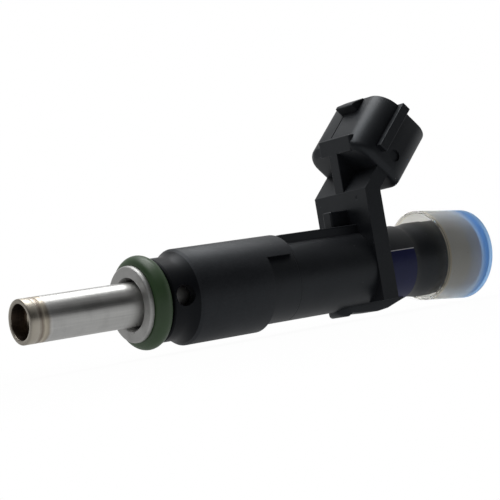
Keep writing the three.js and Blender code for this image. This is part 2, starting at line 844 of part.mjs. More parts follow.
function armSnout() {
  return block(SNOUT_X, PLATE_X + 1, -WEB_HALF, WEB_HALF, RIB_TOP_Z - 1, SNOUT_TOP_Z);
}

function armHead() {
  return slab(
    [
      [PLATE_X, HEAD_BOTTOM_Z],
      [PLATE_X + 2.7, HEAD_BOTTOM_Z],
      [PLATE_X + 3.4, HEAD_BOTTOM_Z + 1.4],
      [PLATE_X + 2.4, HEAD_TOP_Z],
      [PLATE_X, HEAD_TOP_Z],
    ],
    HEAD_HALF,
  );
}

// The outer block of the shroud, with a rounded foot and its front trimmed to the head.
function shroudOuter() {
  const reach = SHROUD_HALF + 1;
  const over = 2 * SHROUD_BASE_ROUND + 1;
  const body = alongShroud(
    shroudSection(0),
    SHROUD_BASE,
    SHROUD_MOUTH + over,
    SHROUD_BASE_ROUND,
  );
  const beyond = alongShroud(
    shapeOf([
      [SHROUD_LATCH_SIDE - 1, -reach],
      [SHROUD_REAR_SIDE + 1, -reach],
      [SHROUD_REAR_SIDE + 1, reach],
      [SHROUD_LATCH_SIDE - 1, reach],
    ]),
    SHROUD_MOUTH,
    SHROUD_MOUTH + over + 1,
  );
  const front = block(PLATE_X - 5, PLATE_X, -reach, reach, HEAD_BOTTOM_Z - 6, HEAD_TOP_Z + 1);
  return cutBy(body, beyond, front);
}

// The rib down the near side of the shroud that keys the mating plug.
function keyRib() {
  const shape = shapeOf([
    [KEY_START, -SHROUD_HALF - KEY_HEIGHT],
    [KEY_START + KEY_WIDTH, -SHROUD_HALF - KEY_HEIGHT],
    [KEY_START + KEY_WIDTH, -SHROUD_HALF + SHROUD_WALL / 2],
    [KEY_START, -SHROUD_HALF + SHROUD_WALL / 2],
  ]);
  const start = SHROUD_BASE + SHROUD_BASE_ROUND + 0.9;
  return alongShroud(shape, start, SHROUD_MOUTH + KEY_OVERHANG);
}

// The ramp that the plug's latch snaps behind.
function latchNib() {
  return slab(
    [
      armPoint(NIB_START, SHROUD_LATCH_SIDE + 0.5),
      armPoint(SHROUD_MOUTH - 0.2, SHROUD_LATCH_SIDE + 0.5),
      armPoint(SHROUD_MOUTH - 0.2, SHROUD_LATCH_SIDE - 0.2),
      armPoint(NIB_START + 0.6, SHROUD_LATCH_SIDE - NIB_HEIGHT),
      armPoint(NIB_START, SHROUD_LATCH_SIDE - NIB_HEIGHT),
    ],
    NIB_HALF,
  );
}

function socketSpace() {
  return alongShroud(shroudSection(SHROUD_WALL), SOCKET_FLOOR, SHROUD_MOUTH + 1);
}

function overmouldBody() {
  const grown = joined(
    bodyBarrel(),
    topRib(),
    keel(),
    flangePlate(),
    armWeb(),
    armSnout(),
    armHead(),
    shroudOuter(),
    keyRib(),
    latchNib(),
  );
  return cutBy(
    grown,
    canSpace(),
    rod(POLE_END_X, SHOULDER_END_X + 1, STEM_BORE_R),
    rod(BODY_START_X - 1, POLE_END_X + 1, COIL_BORE_R),
    socketSpace(),
    terminal(-1, PRESS_GAP),
    terminal(1, PRESS_GAP),
  );
}

// ---- Inlet side ----------------------------------------------------------------------

function inletTube() {
  const grooveStart = UPPER_SEAL_X - UPPER_SEAL_SECTION_R;
  const seatR = UPPER_SEAT_R;
  return turned([
    [INLET_X, POLE_BORE_R],
    [INLET_X, INLET_R],
    [SEAT_CONE_X, INLET_R],
    [grooveStart, seatR],
    [INLET_END_X - INLET_RIM_LENGTH + PRESS_GAP, seatR],
    [INLET_END_X - INLET_RIM_LENGTH + 0.15, seatR + INLET_RIM],
    [INLET_END_X, seatR + INLET_RIM - 0.1],
    [INLET_END_X, INLET_BORE_R + 0.3],
    [INLET_END_X - 0.3, INLET_BORE_R],
    [INLET_X + 6, INLET_BORE_R],
    [INLET_X + 4, POLE_BORE_R],
  ]);
}

function sealStop() {
  const endX = UPPER_SEAL_X - UPPER_SEAL_SECTION_R - PRESS_GAP;
  return tube(SHOULDER_END_X + PRESS_GAP, endX, SHOULDER_R - 0.3, STOP_BORE_R);
}

function inletFilter() {
  const outerR = INLET_BORE_R - PRESS_GAP;
  const rimX = INLET_END_X - 0.6 - FILTER_RIM_LENGTH;
  const footX = rimX - FILTER_LENGTH;
  const basket = turned(
    [
      [footX, 0],
      [footX, FILTER_R],
      [rimX, FILTER_R],
      [rimX, outerR],
      [rimX + FILTER_RIM_LENGTH, outerR],
      [rimX + FILTER_RIM_LENGTH, FILTER_R - FILTER_WALL],
      [footX + FILTER_WALL, FILTER_R - FILTER_WALL],
      [footX + FILTER_WALL, 0],
    ],
    INNER_SIDES,
  );
  const windows = [];
  for (let i = 0; i < FILTER_WINDOWS; i++) {
    const slot = block(footX + 1, rimX - 0.8, -0.8, 0.8, FILTER_R / 2, FILTER_R + 1);
    slot.rotateX(((i + 0.5) / FILTER_WINDOWS) * 2 * Math.PI);
    windows.push(slot);
  }
  return cutBy(basket, ...windows);
}

// A thin band round part of the rear neck, from above the near side down and under.
function labelBand() {
  const innerR = NECK2_R + PRESS_GAP;
  const outerR = innerR + LABEL_THICKNESS;
  const from = -THREE.MathUtils.degToRad(LABEL_TOP_DEG);
  const to = from + THREE.MathUtils.degToRad(LABEL_SPAN_DEG);
  const shape = new THREE.Shape();
  shape.absarc(0, 0, outerR, from, to);
  shape.absarc(0, 0, innerR, to, from, true);
  const band = new THREE.ExtrudeGeometry(shape, {
    depth: LABEL_END_X - LABEL_START_X,
    bevelEnabled: false,
    curveSegments: 32,
  });
  // The drawing's X becomes -Y and its Y becomes -Z, so its depth runs along +X.
  const turn = new THREE.Matrix4().makeBasis(
    new THREE.Vector3(0, -1, 0),
    new THREE.Vector3(0, 0, -1),
    new THREE.Vector3(1, 0, 0),
  );
  band.applyMatrix4(turn);
  band.translate(LABEL_START_X, 0, 0);
  const keelRoom = block(
    LABEL_START_X - 1,
    PLATE_END_X + KEEL_TAIL + FACE_GAP,
    -KEEL_HALF - FACE_GAP,
    KEEL_HALF + FACE_GAP,
    -SLEEVE_R - 1,
    0,
  );
  return cutBy(band, keelRoom);
}

// The cap is drawn along its own axis from the mouth, then set askew.
function transitCap() {
  const innerR = CAP_R - CAP_WALL;
  const outer = [];
  const inner = [];
  for (let i = 0; i <= 4; i++) {
    const angle = (i / 4) * (Math.PI / 2);
    outer.push([
      CAP_LENGTH - CAP_ROUND * (1 - Math.sin(angle)),
      CAP_R - CAP_ROUND * (1 - Math.cos(angle)),
    ]);
    inner.push([
      CAP_LENGTH - CAP_WALL - (CAP_ROUND - CAP_WALL) * (1 - Math.sin(angle)),
      innerR - (CAP_ROUND - CAP_WALL) * (1 - Math.cos(angle)),
    ]);
  }
  return turned([
    [CAP_LENGTH, 0],
    ...outer.reverse(),
    [0, CAP_R],
    [0, innerR],
    ...inner,
    [CAP_LENGTH - CAP_WALL, 0],
  ]);
}

// ---- The assembly --------------------------------------------------------------------

steel("nozzle_tube", nozzleTube());
steel("orifice_retainer", orificeRetainer());
steel("orifice_disc", orificeDisc());
steel("valve_seat", valveSeat());
steel("ball_guide", ballGuide());

// The moving valve: ball, needle tube and armature.
const valve = new THREE.Group();
root.add(valve);
steel("valve_ball", valveBall(), valve);
steel("needle_tube", needleTube(), valve);
darkSteel("armature", armature(), valve);

piece("nonmagnetic_ring", tube(RING_X, RING_END_X, TUBE_R, TUBE_BORE_R, INNER_SIDES), 0xc9b58a, 0.35, 1);
darkSteel("pole_core", poleCore());
steel("return_spring", returnSpring());
piece("spring_adjuster", springAdjuster(), 0xb08d4f, 0.35, 1);
piece("coil_bobbin", coilBobbin(), 0x3a3d42, 0.6, 0);
piece("coil_winding", coilWinding(), 0xa8552a, 0.35, 1);
darkSteel("magnet_can", magnetCan());
darkSteel("flux_washer", fluxWasher());

steel("seal_collar", sealCollar());
piece("lower_o_ring", rubberRing(0, LOWER_SEAL_R, LOWER_SEAL_SECTION_R), 0x33512f, 0.5, 0);
blackPlastic("body_sleeve", bodySleeve());
blackPlastic("overmould_body", overmouldBody());
piece("terminal_left", terminal(1), 0xc9c7bd, 0.3, 1);
piece("terminal_right", terminal(-1), 0xc9c7bd, 0.3, 1);

darkSteel("inlet_tube", inletTube());
blackPlastic("seal_stop", sealStop());
piece("upper_o_ring", rubberRing(UPPER_SEAL_X, UPPER_SEAL_R, UPPER_SEAL_SECTION_R), 0x2f5f9e, 0.5, 0);
piece("inlet_filter", inletFilter(), 0xd8cfae, 0.6, 0);
piece("label_band", labelBand(), 0x1b2156, 0.45, 0);

const capGroup = new THREE.Group();
capGroup.position.set(CAP_MOUTH_X, 0, CAP_MOUTH_Z);
capGroup.rotation.y = CAP_TILT;
root.add(capGroup);
piece("transit_cap", transitCap(), 0xeae6dc, 0.35, 0, capGroup);

export default root;
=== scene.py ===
import math

import bmesh
import bpy
from mathutils import Matrix, Vector


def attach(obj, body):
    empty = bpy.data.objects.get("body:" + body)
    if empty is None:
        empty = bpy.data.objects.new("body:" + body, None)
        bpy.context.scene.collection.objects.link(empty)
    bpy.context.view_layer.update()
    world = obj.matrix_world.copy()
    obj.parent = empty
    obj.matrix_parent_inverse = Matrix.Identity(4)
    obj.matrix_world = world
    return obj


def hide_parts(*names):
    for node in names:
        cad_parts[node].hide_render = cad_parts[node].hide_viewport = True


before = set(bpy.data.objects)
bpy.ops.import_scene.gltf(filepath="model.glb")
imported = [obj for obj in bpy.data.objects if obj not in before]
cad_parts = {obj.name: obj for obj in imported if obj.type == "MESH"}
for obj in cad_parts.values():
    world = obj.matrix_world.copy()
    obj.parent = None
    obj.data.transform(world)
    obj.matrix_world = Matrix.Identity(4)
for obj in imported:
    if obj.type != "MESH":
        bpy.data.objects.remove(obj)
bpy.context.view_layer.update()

MM = 0.001
TURN_SIDES = 160
FINE_SIDES = 192
SMALL_SIDES = 128
GAP = 0.02

# ---- Sizes shared with the part, in millimetres ---------------------------------------

TIP_X = -21.2
TUBE_R = 3.42
TUBE_BORE_R = 2.7
TUBE_END_X = 13.0
RETAINER_X = TIP_X + 2.4
RETAINER_END_X = RETAINER_X + 0.58

COLLAR_FACE_X = -2.28
COLLAR_R = 5.89
COLLAR_MOUTH_R = 3.72
COLLAR_END_X = 7.4
SEAL_SEAT_R = 4.28
LOWER_SEAL_R = 7.3
LOWER_SEAL_SECTION_R = 1.5

NECK_FACE_X = 1.7
NECK_R = 6.5
CONE_START_X = 3.96
SLEEVE_START_X = 6.475
SLEEVE_R = 7.51
SLEEVE_END_X = 25.5
SLEEVE_STEP_X = 20.05
SLEEVE_STEP_Z = 3.85
VENT_X = 3.83
VENT_R = 1.62
VENT_FLOOR_R = 4.9

BODY_START_X = 8.0
BODY_R = 6.55
BODY_BORE_R = 5.9
BODY_BORE_END_X = 30.0
RIB_HALF = 3.1
RIB_TOP_Z = 7.2
KEEL_HALF = 2.4
KEEL_START_X = 36.0
KEEL_DEPTH = 7.55
PLATE_X = 41.8
PLATE_END_X = 45.0
PLATE_HALF = 6.75
PLATE_BOTTOM_Z = -5.9
WEB_HALF = 1.1
SNOUT_X = 38.3
SNOUT_TOP_Z = 9.85
REAR_NECK_R = 6.22
REAR_NECK_END_X = 50.8
RELIEF_R = 6.1
RELIEF_END_X = 53.5
SHOULDER_START_X = 54.6
SHOULDER_R = 6.32
SHOULDER_STEP_X = 57.1
SHOULDER_STEP_END_X = 57.35
SHOULDER_END_X = 62.8

TILT = math.radians(45)
ARM_TOP = 20.6
ARM_REAR = 23.15
HEAD_BOTTOM_Z = 19.1
HEAD_TOP_Z = 21.9
HEAD_HALF = 4.95
SHROUD_BASE = 43.3
SHROUD_MOUTH = 54.4
LATCH_SIDE = 14.8
REAR_SIDE = 26.6
SHROUD_HALF = 7.5
LATCH_CORNER_R = 3.7
REAR_CORNER_R = 3.3
BASE_ROUND = 1.3
SHROUD_WALL = 1.2
SOCKET_FLOOR = 46.6
KEY_START = 18.3
KEY_WIDTH = 1.7
KEY_HEIGHT = 1.05
NIB_START = 51.5
NIB_HALF = 2.2
NIB_HEIGHT = 1.5

RUN_OFFSET = 1.9
PIN_OFFSET = 3.05
PIN_WIDTH = 1.5
PIN_THICKNESS = 0.63
PIN_ACROSS = 21.3
PIN_TIP = 52.7
PIN_START_X = 23.82
PIN_RUN_Z = 4.75
PIN_RISE_X = 42.9

INLET_X = 30.02
INLET_R = 4.6
INLET_BORE_R = 3.2
INLET_END_X = 66.4
UPPER_SEAL_X = 64.45
UPPER_SEAL_R = 6.75
UPPER_SEAL_SECTION_R = 1.3
LABEL_START_X = 45.3
LABEL_END_X = 50.6
LABEL_TOP_DEG = 17.5
LABEL_SPAN_DEG = 215

CAP_MOUTH_X = 55.92
CAP_MOUTH_Z = 0.58
CAP_TILT = math.radians(5.13)
CAP_R = 7.6
CAP_WALL = 0.4
CAP_LENGTH = 11.5
CAP_ROUND = 1.2

# ---- Sizes of the looks alone, in millimetres -----------------------------------------

HEAD_CORNER = 1.7
MILKY_FROM_X = 56.9
MILKY_BLUR = 0.2
SEAL_SHOWS_FROM_X = 63.9
SEAL_SHOWS_TO_X = 65.3
SEAL_SHOWS_INNER_R = 3.6
SEAL_SHOWS_OUTER_R = 5.0

ALONG = Vector((math.sin(TILT), 0, math.cos(TILT)))
ACROSS = Vector((math.cos(TILT), 0, -math.sin(TILT)))


# ---- Mesh tools -----------------------------------------------------------------------

NEARLY_STRAIGHT = math.radians(172)
ARC_SHARE = 0.45


def rounded(points, radius, steps=3):
    """A closed outline with each corner turned into a small arc."""
    result = []
    count = len(points)
    for i, here in enumerate(points):
        corner = Vector(here)
        back = Vector(points[i - 1]) - corner
        ahead = Vector(points[(i + 1) % count]) - corner
        angle = back.angle(ahead)
        if angle > NEARLY_STRAIGHT:
            result.append(tuple(corner))
            continue
        room = min(back.length * ARC_SHARE, ahead.length * ARC_SHARE)
        reach = min(radius / math.tan(angle / 2), room)
        start = corner + back.normalized() * reach
        end = corner + ahead.normalized() * reach
        for step in range(steps + 1):
            t = step / steps
            point = start * (1 - t) ** 2 + corner * 2 * t * (1 - t) + end * t**2
            result.append(tuple(point))
    return result


def turned(outline, sides=TURN_SIDES):
    """Vertices and faces of a closed [x, radius] outline turned about the X axis."""
    verts, faces, rings = [], [], []
    for x, radius in outline:
        if radius < 1e-6:
            rings.append([len(verts)])
            verts.append((x, 0, 0))
            continue
        rings.append(range(len(verts), len(verts) + sides))
        for k in range(sides):
            angle = 2 * math.pi * k / sides
            verts.append((x, radius * math.cos(angle), radius * math.sin(angle)))
    for i, ring in enumerate(rings):
        after = rings[(i + 1) % len(rings)]
        if len(ring) == 1 and len(after) == 1:
            continue
        for k in range(sides):
            j = (k + 1) % sides
            if len(ring) == 1:
                faces.append((ring[0], after[j], after[k]))
            elif len(after) == 1:
                faces.append((ring[k], ring[j], after[0]))
            else:
                faces.append((ring[k], ring[j], after[j], after[k]))
    return verts, faces


def lofted(rings):
    """A closed solid through rings of points, with flat ends."""
    count = len(rings[0])
    verts = [tuple(p) for ring in rings for p in ring]
    faces = [tuple(range(count))]
    faces.append(tuple((len(rings) - 1) * count + k for k in reversed(range(count))))
    for i in range(len(rings) - 1):
        for k in range(count):
            j = (k + 1) % count
            low, high = i * count, (i + 1) * count
            faces.append((low + k, high + k, high + j, low + j))
    return verts, faces


def slab(profile, y0, y1):
    """A side profile of (x, z) points between two places along Y."""
    return lofted([[(x, y, z) for x, z in profile] for y in (y0, y1)])


def box(x0, x1, y0, y1, z0, z1):
    return slab([(x0, z0), (x1, z0), (x1, z1), (x0, z1)], y0, y1)


def rod(start, end, radius, sides=48):
    """A plain round bar between two points."""
    start, end = Vector(start), Vector(end)
    turn = (end - start).to_track_quat("Z", "Y")
    rings = []
    for centre in (start, end):
        ring = []
        for k in range(sides):
            angle = 2 * math.pi * k / sides
            offset = Vector((radius * math.cos(angle), radius * math.sin(angle), 0))
            ring.append(centre + turn @ offset)
        rings.append(ring)
    return lofted(rings)


def arm_point(along, across):
    point = ALONG * along + ACROSS * across
    return point.x, point.z


def arm_height(x, across):
    return (x - across * ACROSS.x) / math.tan(TILT) + across * ACROSS.z


def arm_space(along, across, y):
    point = ALONG * along + ACROSS * across
    return Vector((point.x, y, point.z))


def new_object(name, shape, material):
    verts, faces = shape
    mesh = bpy.data.meshes.new(name)
    mesh.from_pydata([Vector(v) * MM for v in verts], [], faces)
    work = bmesh.new()
    work.from_mesh(mesh)
    bmesh.ops.recalc_face_normals(work, faces=work.faces)
    work.to_mesh(mesh)
    work.free()
    obj = bpy.data.objects.new(name, mesh)
    bpy.context.scene.collection.objects.link(obj)
    if material:
        mesh.materials.append(material)
    return obj


def cut(obj, *shapes):
    """Takes shapes out of an object's mesh."""
    for shape in shapes:
        tool = new_object("cutter", shape, None)
        step = obj.modifiers.new("cut", "BOOLEAN")
        step.operation = "DIFFERENCE"
        step.solver = "EXACT"
        step.object = tool
        graph = bpy.context.evaluated_depsgraph_get()
        mesh = bpy.data.meshes.new_from_object(obj.evaluated_get(graph))
        obj.modifiers.clear()
        obj.data = mesh
        bpy.data.objects.remove(tool, do_unlink=True)
    return obj


def smooth(obj, sharp_degrees=35):
    obj.data.shade_smooth()
    obj.data.set_sharp_from_angle(angle=math.radians(sharp_degrees))
    return obj


def bevelled(obj, width, segments=3, limit_degrees=40):
    step = obj.modifiers.new("soft edges", "BEVEL")
    step.width = width * MM
    step.segments = segments
    step.limit_method = "ANGLE"
    step.angle_limit = math.radians(limit_degrees)
    step.harden_normals = True
    step.use_clamp_overlap = True
    obj.data.shade_smooth()
    return obj


def fit(obj, body, slot, *nodes):
    """Ties a finished piece to its body and hides the nodes it stands for; its finish, the slot,
    is not used.
    """
    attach(obj, body)
    if nodes:
        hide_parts(*nodes)
    return obj


# ---- Material tools -------------------------------------------------------------------

# The Mix node's sockets for colours, which share their names with those for numbers.
MIX_FACTOR, MIX_FIRST, MIX_SECOND, MIX_RESULT = 0, 6, 7, 2


def feed(tree, socket, value):
    """Links an output to an input, or sets the input's own value."""
    if isinstance(value, bpy.types.NodeSocket):
        tree.links.new(value, socket)
    else:
        socket.default_value = value


def add(tree, kind, links=None, **settings):
    """Adds a node, sets its properties, and links or fills its inputs."""
    node = tree.nodes.new(kind)
    for key, value in settings.items():
        setattr(node, key, value)
    for key, value in (links or {}).items():
        feed(tree, node.inputs[key], value)
    return node


def maths(tree, operation, first, second=0.0, clamp=False):
    return add(
        tree, "ShaderNodeMath", {0: first, 1: second}, operation=operation, use_clamp=clamp
    ).outputs[0]


def ranged(tree, value, low, high, to_low=0.0, to_high=1.0):
    node = add(
        tree,
        "ShaderNodeMapRange",
        {
            "Value": value,
            "From Min": low,
            "From Max": high,
            "To Min": to_low,
            "To Max": to_high,
        },
    )
    return node.outputs[0]


def mixed(tree, factor, first, second):
    node = add(tree, "ShaderNodeMix", data_type="RGBA")
    for index, value in ((MIX_FACTOR, factor), (MIX_FIRST, first), (MIX_SECOND, second)):
        feed(tree, node.inputs[index], value)
    return node.outputs[MIX_RESULT]


def noise(tree, where, scale, detail=2.0, roughness=0.5):
    links = {"Vector": where, "Scale": scale, "Detail": detail, "Roughness": roughness}
    return add(tree, "ShaderNodeTexNoise", links).outputs[0]


def stretched(tree, factors):
    """The object's own coordinates, stretched differently along each axis."""
    spot = add(tree, "ShaderNodeTexCoord").outputs["Object"]
    return add(tree, "ShaderNodeMapping", {"Vector": spot, "Scale": factors}).outputs[0]


def new_group(name, inputs, outputs):
    """A shared effect with its inlet and outlet nodes. Sockets are (name, type, default)."""
    tree = bpy.data.node_groups.new(name, "ShaderNodeTree")
    for title, kind, default in inputs:
        socket = tree.interface.new_socket(name=title, in_out="INPUT", socket_type=kind)
        socket.default_value = default
    for title, kind in outputs:
        tree.interface.new_socket(name=title, in_out="OUTPUT", socket_type=kind)
    return tree, tree.nodes.new("NodeGroupInput"), tree.nodes.new("NodeGroupOutput")


FLOAT = "NodeSocketFloat"
COLOUR = "NodeSocketColor"


def grain_group():
    """Fine texture of a moulded surface, with a fainter coarse mottle under it."""
    tree, inlet, outlet = new_group(
        "Moulded grain", [("Scale", FLOAT, 3500.0)], [("Grain", FLOAT), ("Height", FLOAT)]
    )
    spot = stretched(tree, (1, 1, 1))
    fine = noise(tree, spot, inlet.outputs["Scale"], 3.0, 0.6)
    coarse_scale = maths(tree, "MULTIPLY", inlet.outputs["Scale"], 0.18)
    coarse = noise(tree, spot, coarse_scale, 2.0)
    blend = maths(tree, "MULTIPLY", coarse, 0.35)
    total = maths(tree, "ADD", maths(tree, "MULTIPLY", fine, 0.65), blend)
    tree.links.new(ranged(tree, total, 0.3, 0.7), outlet.inputs["Grain"])
    tree.links.new(total, outlet.inputs["Height"])
    return tree


def dust_group():
    """Sparse pale specks and broad handling smudges."""
    tree, inlet, outlet = new_group(
        "Dust and smudges", [("Amount", FLOAT, 0.5)], [("Dust", FLOAT), ("Smudge", FLOAT)]
    )
    spot = stretched(tree, (1, 1, 1))
    cells = add(tree, "ShaderNodeTexVoronoi", {"Vector": spot, "Scale": 620.0})
    speck = ranged(tree, cells.outputs["Distance"], 0.05, 0.1, 1.0, 0.0)
    chooser = add(tree, "ShaderNodeSeparateColor", {"Color": cells.outputs["Color"]})
    limit = maths(tree, "SUBTRACT", 1.0, maths(tree, "MULTIPLY", inlet.outputs["Amount"], 0.3))
    chosen = maths(tree, "GREATER_THAN", chooser.outputs[0], limit)
    tree.links.new(maths(tree, "MULTIPLY", speck, chosen), outlet.inputs["Dust"])
    broad = noise(tree, spot, 130.0, 4.0, 0.55)
    tree.links.new(ranged(tree, broad, 0.32, 0.68), outlet.inputs["Smudge"])
    return tree


def machined_group():
    """Turning rings round the X axis and drawn streaks along it."""
    tree, inlet, outlet = new_group(
        "Machined lines",
        [("Rings", FLOAT, 0.5), ("Streaks", FLOAT, 0.5)],
        [("Lines", FLOAT), ("Height", FLOAT)],
    )
    rings = noise(tree, stretched(tree, (9000, 60, 60)), 1.0, 3.0, 0.7)
    streaks = noise(tree, stretched(tree, (70, 3200, 3200)), 1.0, 3.0, 0.6)
    first = maths(tree, "MULTIPLY", rings, inlet.outputs["Rings"])
    second = maths(tree, "MULTIPLY", streaks, inlet.outputs["Streaks"])
    total = maths(tree, "ADD", first, second)
    tree.links.new(ranged(tree, total, 0.3, 0.7), outlet.inputs["Lines"])
    tree.links.new(total, outlet.inputs["Height"])
    return tree


def pits_group():
    """Small scattered pits and dark stains in a metal face."""
    tree, inlet, outlet = new_group(
        "Pits and stains", [("Scale", FLOAT, 900.0)], [("Pits", FLOAT), ("Stain", FLOAT)]
    )
    spot = stretched(tree, (1, 1, 1))
    cells = add(tree, "ShaderNodeTexVoronoi", {"Vector": spot, "Scale": inlet.outputs["Scale"]})
    chooser = add(tree, "ShaderNodeSeparateColor", {"Color": cells.outputs["Color"]})
    chosen = maths(tree, "GREATER_THAN", chooser.outputs[1], 0.86)
    pit = ranged(tree, cells.outputs["Distance"], 0.1, 0.2, 1.0, 0.0)
    tree.links.new(maths(tree, "MULTIPLY", pit, chosen), outlet.inputs["Pits"])
    tree.links.new(ranged(tree, noise(tree, spot, 420.0, 4.0), 0.5, 0.72), outlet.inputs["Stain"])
    return tree


def tint_group():
    """Straw and brown heat rings left by the weld near the nozzle's tip."""
    tree, inlet, outlet = new_group(
        "Weld tint", [("Base", COLOUR, (0.5, 0.5, 0.5, 1))], [("Color", COLOUR)]
    )
    spot = add(tree, "ShaderNodeTexCoord").outputs["Object"]
    x = add(tree, "ShaderNodeSeparateXYZ", {0: spot}).outputs[0]
    wave = maths(tree, "MULTIPLY", noise(tree, spot, 500.0, 3.0), 0.0006)
    place = ranged(tree, maths(tree, "ADD", x, wave), TIP_X * MM, (TIP_X + 4.0) * MM)
    ramp = add(tree, "ShaderNodeValToRGB", {0: place})
    bands = (
        (0.0, (0.2, 0.17, 0.13, 1)),
        (0.16, (0.5, 0.45, 0.36, 1)),
        (0.4, (0.56, 0.51, 0.42, 1)),
        (0.55, (0.2, 0.14, 0.09, 1)),
        (0.68, (0.62, 0.55, 0.42, 1)),
        (0.84, (0.34, 0.28, 0.2, 1)),
        (1.0, (1, 1, 1, 1)),
    )
    for index, (at, colour) in enumerate(bands):
        stop = ramp.color_ramp.elements
        element = stop[index] if index < 2 else stop.new(at)
        element.position = at
        element.color = colour
    fade = ranged(tree, place, 0.8, 1.0, 0.75, 0.0)
    tree.links.new(
        mixed(tree, fade, inlet.outputs["Base"], ramp.outputs[0]), outlet.inputs["Color"]
    )
    return tree


GRAIN = grain_group()
DUST = dust_group()
MACHINED = machined_group()
PITS = pits_group()
TINT = tint_group()


def use(tree, group, **values):
    node = tree.nodes.new("ShaderNodeGroup")
    node.node_tree = group
    for key, value in values.items():
        feed(tree, node.inputs[key], value)
    return node


def new_material(name):
    material = bpy.data.materials.new(name)
    material.use_nodes = True
    tree = material.node_tree
    return material, tree, tree.nodes["Principled BSDF"]


def bump(tree, shader, height, depth, strength=1.0):
    """Raises the surface by a height map, depth in millimetres."""
    links = {"Height": height, "Distance": depth * MM, "Strength": strength}
    node = add(tree, "ShaderNodeBump", links)
    tree.links.new(node.outputs[0], shader.inputs["Normal"])


def plastic(name, dark, light, rough_low, rough_high, grain_scale=3500.0, dust=0.35, relief=0.012):
    """Moulded plastic with grain, smudges and a little dust."""
    material, tree, shader = new_material(name)
    grain = use(tree, GRAIN, Scale=grain_scale)
    marks = use(tree, DUST, Amount=dust)
    colour = mixed(tree, grain.outputs["Grain"], dark, light)
    faint = maths(tree, "MULTIPLY", marks.outputs["Dust"], 0.1)
    colour = mixed(tree, faint, colour, (0.3, 0.31, 0.33, 1))
    tree.links.new(colour, shader.inputs["Base Color"])
    shader.inputs["Specular IOR Level"].default_value = 0.42
    shader.inputs["Specular Tint"].default_value = (0.86, 0.93, 1.0, 1)
    smudged = maths(tree, "MULTIPLY", marks.outputs["Smudge"], 0.7)
    wear = maths(tree, "ADD", smudged, maths(tree, "MULTIPLY", grain.outputs["Grain"], 0.3))
    tree.links.new(ranged(tree, wear, 0.0, 1.0, rough_low, rough_high), shader.inputs["Roughness"])
    bump(tree, shader, grain.outputs["Height"], relief)
    return material, tree, shader


def metal(name, colour, dark_colour, rough_low, rough_high, rings=0.5, streaks=0.5, relief=0.004):
    """Machined metal with fine lines and stains, and pits that the caller may lay on."""
    material, tree, shader = new_material(name)
    lines = use(tree, MACHINED, Rings=rings, Streaks=streaks)
    marks = use(tree, PITS)
    smudges = use(tree, DUST, Amount=0.2)
    tone = mixed(tree, lines.outputs["Lines"], dark_colour, colour)
    stain = maths(tree, "MULTIPLY", marks.outputs["Stain"], 0.25)
    tone = mixed(tree, stain, tone, tuple(c * 0.55 for c in dark_colour[:3]) + (1,))
    tree.links.new(tone, shader.inputs["Base Color"])
    shader.inputs["Metallic"].default_value = 1.0
    smudged = maths(tree, "MULTIPLY", smudges.outputs["Smudge"], 0.6)
    wear = maths(tree, "ADD", smudged, maths(tree, "MULTIPLY", lines.outputs["Lines"], 0.4))
    tree.links.new(ranged(tree, wear, 0.0, 1.0, rough_low, rough_high), shader.inputs["Roughness"])
    bump(tree, shader, lines.outputs["Height"], relief)
    return material, tree, shader, tone, marks


def rubber(name, dark, light):
    """Lightly oiled rubber with a soft bloom."""
    material, tree, shader = new_material(name)
    grain = use(tree, GRAIN, Scale=2600.0)
    marks = use(tree, DUST, Amount=0.5)
    colour = mixed(tree, marks.outputs["Smudge"], dark, light)
    faint = maths(tree, "MULTIPLY", marks.outputs["Dust"], 0.25)
    colour = mixed(tree, faint, colour, (0.4, 0.42, 0.38, 1))
    tree.links.new(colour, shader.inputs["Base Color"])
    tree.links.new(
        ranged(tree, grain.outputs["Grain"], 0.0, 1.0, 0.36, 0.5), shader.inputs["Roughness"]
    )
    bump(tree, shader, grain.outputs["Height"], 0.01)
    return material


def black_plastic():
    return plastic(
        "black_plastic", (0.0045, 0.0052, 0.0068, 1), (0.0095, 0.0105, 0.013, 1), 0.38, 0.5
    )[0]


def sleeve_plastic():
    return plastic(
        "sleeve_plastic",
        (0.005, 0.0055, 0.0075, 1),
        (0.014, 0.015, 0.018, 1),
        0.42,
        0.54,
        grain_scale=2600.0,
        dust=0.6,
        relief=0.02,
    )[0]


def shaded_neck_plastic():
    """The sleeve's smoother neck, darker and less glossy than the sleeve: partly its own finish,
    partly painted shade between the seal and the sleeve.
    """
    material, _, shader = plastic(
        "shaded_neck_plastic", (0.0035, 0.004, 0.0055, 1), (0.006, 0.0065, 0.008, 1), 0.36, 0.46
    )
    shader.inputs["Specular IOR Level"].default_value = 0.16
    return material


def nozzle_steel():
    material, tree, shader, tone, _ = metal(
        "nozzle_steel",
        (0.66, 0.66, 0.645, 1),
        (0.52, 0.52, 0.51, 1),
        0.3,
        0.42,
        rings=0.35,
        streaks=0.55,
    )
    tinted = use(tree, TINT, Base=tone)
    tree.links.new(tinted.outputs["Color"], shader.inputs["Base Color"])
    return material


def bore_shade_steel():
    """Dark brownish steel for the inside of the nozzle's bore: painted shade for the hollow."""
    return metal(
        "bore_shade_steel",
        (0.2, 0.16, 0.13, 1),
        (0.05, 0.038, 0.03, 1),
        0.26,
        0.42,
        rings=0.6,
        streaks=0.3,
    )[0]


def collar_steel():
    material, tree, shader, tone, marks = metal(
        "collar_steel",
        (0.56, 0.56, 0.55, 1),
        (0.42, 0.42, 0.41, 1),
        0.42,
        0.56,
        rings=0.7,
        streaks=0.3,
    )
    pitted = mixed(tree, marks.outputs["Pits"], tone, (0.03, 0.02, 0.015, 1))
    tree.links.new(pitted, shader.inputs["Base Color"])
    return material


def label_film(name, dark, light):
    """Blank adhesive film with a slight sheen."""
    material, _, shader = plastic(
        name, dark, light, 0.34, 0.44, grain_scale=1800.0, dust=0.15, relief=0.004
    )
    shader.inputs["Specular IOR Level"].default_value = 0.3
    return material


